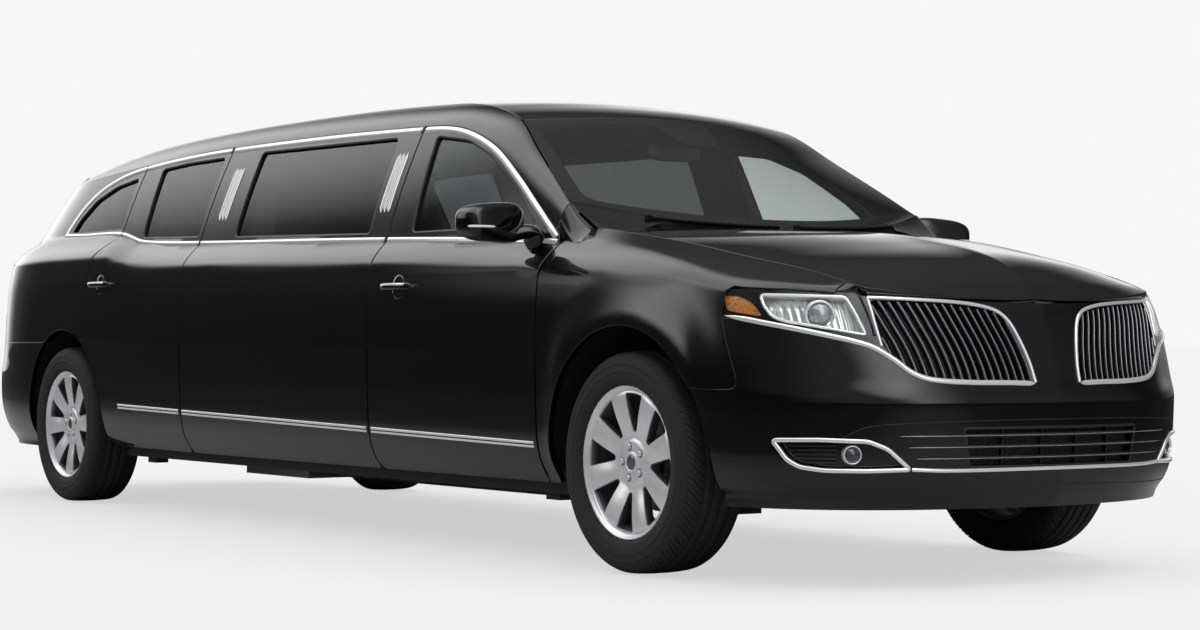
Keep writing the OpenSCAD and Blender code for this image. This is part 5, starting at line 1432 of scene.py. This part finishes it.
leather, shader, w = finish("black_leather", Base_Color=(.045, .043, .041, 1), Roughness=.42, Coat_Weight=.15)
pores = pattern(w, "Voronoi", 520.0)
creases = pattern(w, "Noise", 18.0, Detail=4.0)
bump(pores * .6 + creases, shader, .35, .001)
(creases * .2 + .34).into(shader, "Roughness")
seat_base = grained("seat_base_carpet", (.015, .015, .016), .85, 200.0, .08, .001)
LEVEL, RISEN, LEANING, AHEAD = (1, 0, .05), (-.05, 0, 1), (-.22, 0, 1), (1, 0, .25)
DRIVER_Y, CHANNELS = -.380, (-.5, 0, .5)
front_pads, bases = [], []
for y in (DRIVER_Y, -DRIVER_Y):
    front_pads += [pad((FX - 1.300, y, .470), LEVEL, RISEN, (.245, .235, .080), CHANNELS),
                   pad((FX - 1.618, y, .745), LEANING, AHEAD, (.245, .290, .055), CHANNELS),
                   pad((FX - 1.716, y, 1.130), (-.12, 0, 1), (1, 0, .1), (.115, .098, .048), (), .006, 48)]
    bases.append(block((.235, .195, .068), .25, (FX - 1.360, y, .330)))
    for d in (-.05, .05):
        post = np.array([(FX - 1.700, y + d, 1.000), (FX - 1.708, y + d, 1.060)])
        bases.append(swept(post, np.array([(1.0, 0, 0)] * 2), .006, .006, .006, mark=1))
piece("front_seat_pads", joined(*front_pads), "body", [leather], "front_seats",
                slot="seat_leather")
piece("front_seat_bases", joined(*bases), "body", [seat_base, chrome], slot="cabin_plastic")
rear_pads = []
for y in (-.395, 0, .395):
    rear_pads += [pad((RX + .430, y, .620), LEVEL, RISEN, (.193, .205, .078), (0,), .014),
                  pad((RX + .098, y, .885), LEANING, AHEAD, (.193, .285, .055), (0,), .014)]
for x in RX + 1.700 + .400 * np.arange(3):
    rear_pads += [pad((x, .430, .500), (0, 1, 0), (0, 0, 1), (.196, .185, .078), (), .014),
                  pad((x, .628, .770), (0, 0, 1), (0, -1, 0), (.196, .205, .034), (), .010)]
piece("rear_seat_pads", joined(*rear_pads), "body", [leather], "rear_seats", slot="seat_leather")
plinths = [block((.600, .205, .085), .2, (RX + 2.100, .440, .346)),
           block((.090, .555, .130), .2, (RX + .522, 0, .395))]
piece("rear_seat_bases", joined(*plinths), "body", [seat_base], slot="cabin_plastic")

# Steering wheel: a leather rim on three plastic spokes, with a plain hub pad.
# It is built flat about its own axis, then aimed along the column.
WHEEL_TILT, RIM_R = math.radians(65), .178
wheel_axis = np.array([-math.sin(WHEEL_TILT), 0, math.cos(WHEEL_TILT)])
wheel_place = np.array([FX - .720, DRIVER_Y, .960]) + wheel_axis * .150
t = np.linspace(0, 2 * np.pi, 72, endpoint=False)
ring = np.c_[RIM_R * np.cos(t), 0 * t, RIM_R * np.sin(t)]
wheel = [swept(ring, np.tile([0, 1.0, 0], (72, 1)), .014, .014, .014, loop=True),
         spun([(.0002, -.030), (.050, -.030), (.058, -.018), (.058, -.004), (.050, .006), (.025, .009),
               (.0002, .010)], 48, mark=1)]
out = np.linspace(.045, .170, 10)
for k in np.radians([0, 180, 270]):
    arm = np.c_[out * math.cos(k), np.linspace(-.006, 0, 10), out * math.sin(k)]
    wheel.append(swept(arm, np.tile([0, 1.0, 0], (10, 1)), .016, .006, .006, mark=1))
cabin_black = grained("cabin_plastic", (.034, .034, .035), .6, 320.0, .08, .0005)
piece("steering_wheel_rim", aimed(joined(*wheel), wheel_place, wheel_axis), "steering_wheel",
      [leather, cabin_black], "steering_wheel", slot="cabin_plastic")

# Windscreen fittings: the inside mirror on its stalk, and the black housing of the rain sensor behind the
# glass. Both are plastic, and are stuck to the top of the windscreen.
stalk = even([(FX - .965, 0, 1.566), (FX - .985, 0, 1.530), (FX - 1.012, 0, 1.505)], .01)
fittings = [sheet(pebble((.016, .122, .034), .6, 48) + np.array([FX - 1.025, 0, 1.488])),
            swept(stalk, np.tile([1.0, 0, 0], (len(stalk), 1)), .009, .009, .009)]
piece("inside_mirror", joined(*fittings), "body", [cabin_black], slot="cabin_plastic")
sensor = rounded([(HEADER + .010, -.120), (HEADER + .150, -.070), (HEADER + .150, .070),
                  (HEADER + .010, .120)], .02)
piece("sensor_housing", panel(roof_skin, [sensor], .012, step=.02, hem=.002, lift=-.0075), "body",
      [print_black], slot="dark_trim")


# Cowl ends and wipers: painted caps at both ends of the black tray, and two rubber blades that lie on it.
# The tray fills the space between the foot of the windscreen and the back of the bonnet.
def tray(s, t, front, back):
    """A line or patch from the foot of the windscreen, at t 0, to the back of the bonnet, at t 1, each
    moved a little."""
    low = roof_skin(np.full_like(s, BASE), ROOF_Y * s) + front
    return mix(low, hood_point(s, np.zeros_like(s)) + back, t)


def cowl_at(s, t):
    """A line across the black tray at share t of its depth."""
    return tray(np.asarray(s, float), t, [.0012, 0, -.0056], [-.060, 0, -.010])


def cap_skin(s, t):
    """The painted end of the cowl over lengths: the tray raised by a few millimetres."""
    return tray(s / .7, t[..., None] / .2, [.002, 0, -.001], [-.040, 0, -.004])


cowl_black = grained("cowl_plastic", (.004, .004, .004), .7, 260.0, .1, .0008, Specular_IOR_Level=.1)
cap_loop = rounded([(.700, .002), (.700, .198), (.560, .198), (.480, .110), (.500, .002)], .012)
piece("cowl_end_caps", both(panel(cap_skin, [cap_loop], .004, step=.012, hem=.0015)), "body", [paint],
      slot="body_paint")
UP = np.tile([0, 0, 1.0], (30, 1))
pivot = spun([(.013, -.018), (.013, .006), (.010, .010), (.0002, .011)], 32)
blades = []
for a, b in ((-.724, -.10), (0, .68)):
    arm = cowl_at(np.linspace(a, b, 30), .4) + [0, 0, .018]
    wipe = cowl_at(np.linspace(mix(a, b, .18), b, 30), .12) + [0, 0, .010]
    blades += [swept(arm, UP, .006, .006, .006), swept(wipe, UP, .0045, .009, .008, taper=.03, mark=1),
               aimed(pivot, arm[0], (0, .05, 1.0))]
piece("wiper_blades", joined(*blades), "body", [cowl_black, rubber_trim], "wipers", slot="dark_trim")

# Pieces that stay as they were built: floor, running gear, engine, exhaust, dashboard and cowl tray.
# Each gets its finish and worn edges, and a carpet is laid on the floor.
under_coat = grained("stone_guard", (.016, .016, .017), .8, 90.0, .1, .0015)
engine_cast = grained("engine_casting", (.16, .16, .17), .5, 70.0, .12, .001, Metallic=.6)
pipe_steel = grained("exhaust_steel", (.34, .32, .30), .4, 45.0, .12, .0005, Metallic=.9)
carpet = grained("floor_carpet", (.012, .012, .013), .9, 400.0, .06, .002)
EDGE, DASH_EDGE = .004, .020
for skin, nodes in ((under_coat, ("floor_pan", "front_subframe", "rear_axle")),
                    (iron, ("knuckle_left", "knuckle_right")), (engine_cast, ("engine_block",)),
                    (pipe_steel, ("exhaust",)), (cabin_black, ("dashboard",)), (cowl_black, ("cowl",))):
    for node in nodes:
        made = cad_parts[node]
        made.data.materials.clear()
        made.data.materials.append(skin)
        worn = made.modifiers.new("worn_edges", "BEVEL")
        worn.width = DASH_EDGE if node == "dashboard" else EDGE
        worn.segments = 2
        worn.limit_method = "ANGLE"
        worn.angle_limit = math.radians(40)
rugs = [block((1.72, .660, .006), .1, (.10, 0, .264)), block((.70, .540, .006), .1, (RX - .30, 0, .532))]
piece("cabin_carpet", joined(*rugs), "body", [carpet], slot="cabin_plastic")
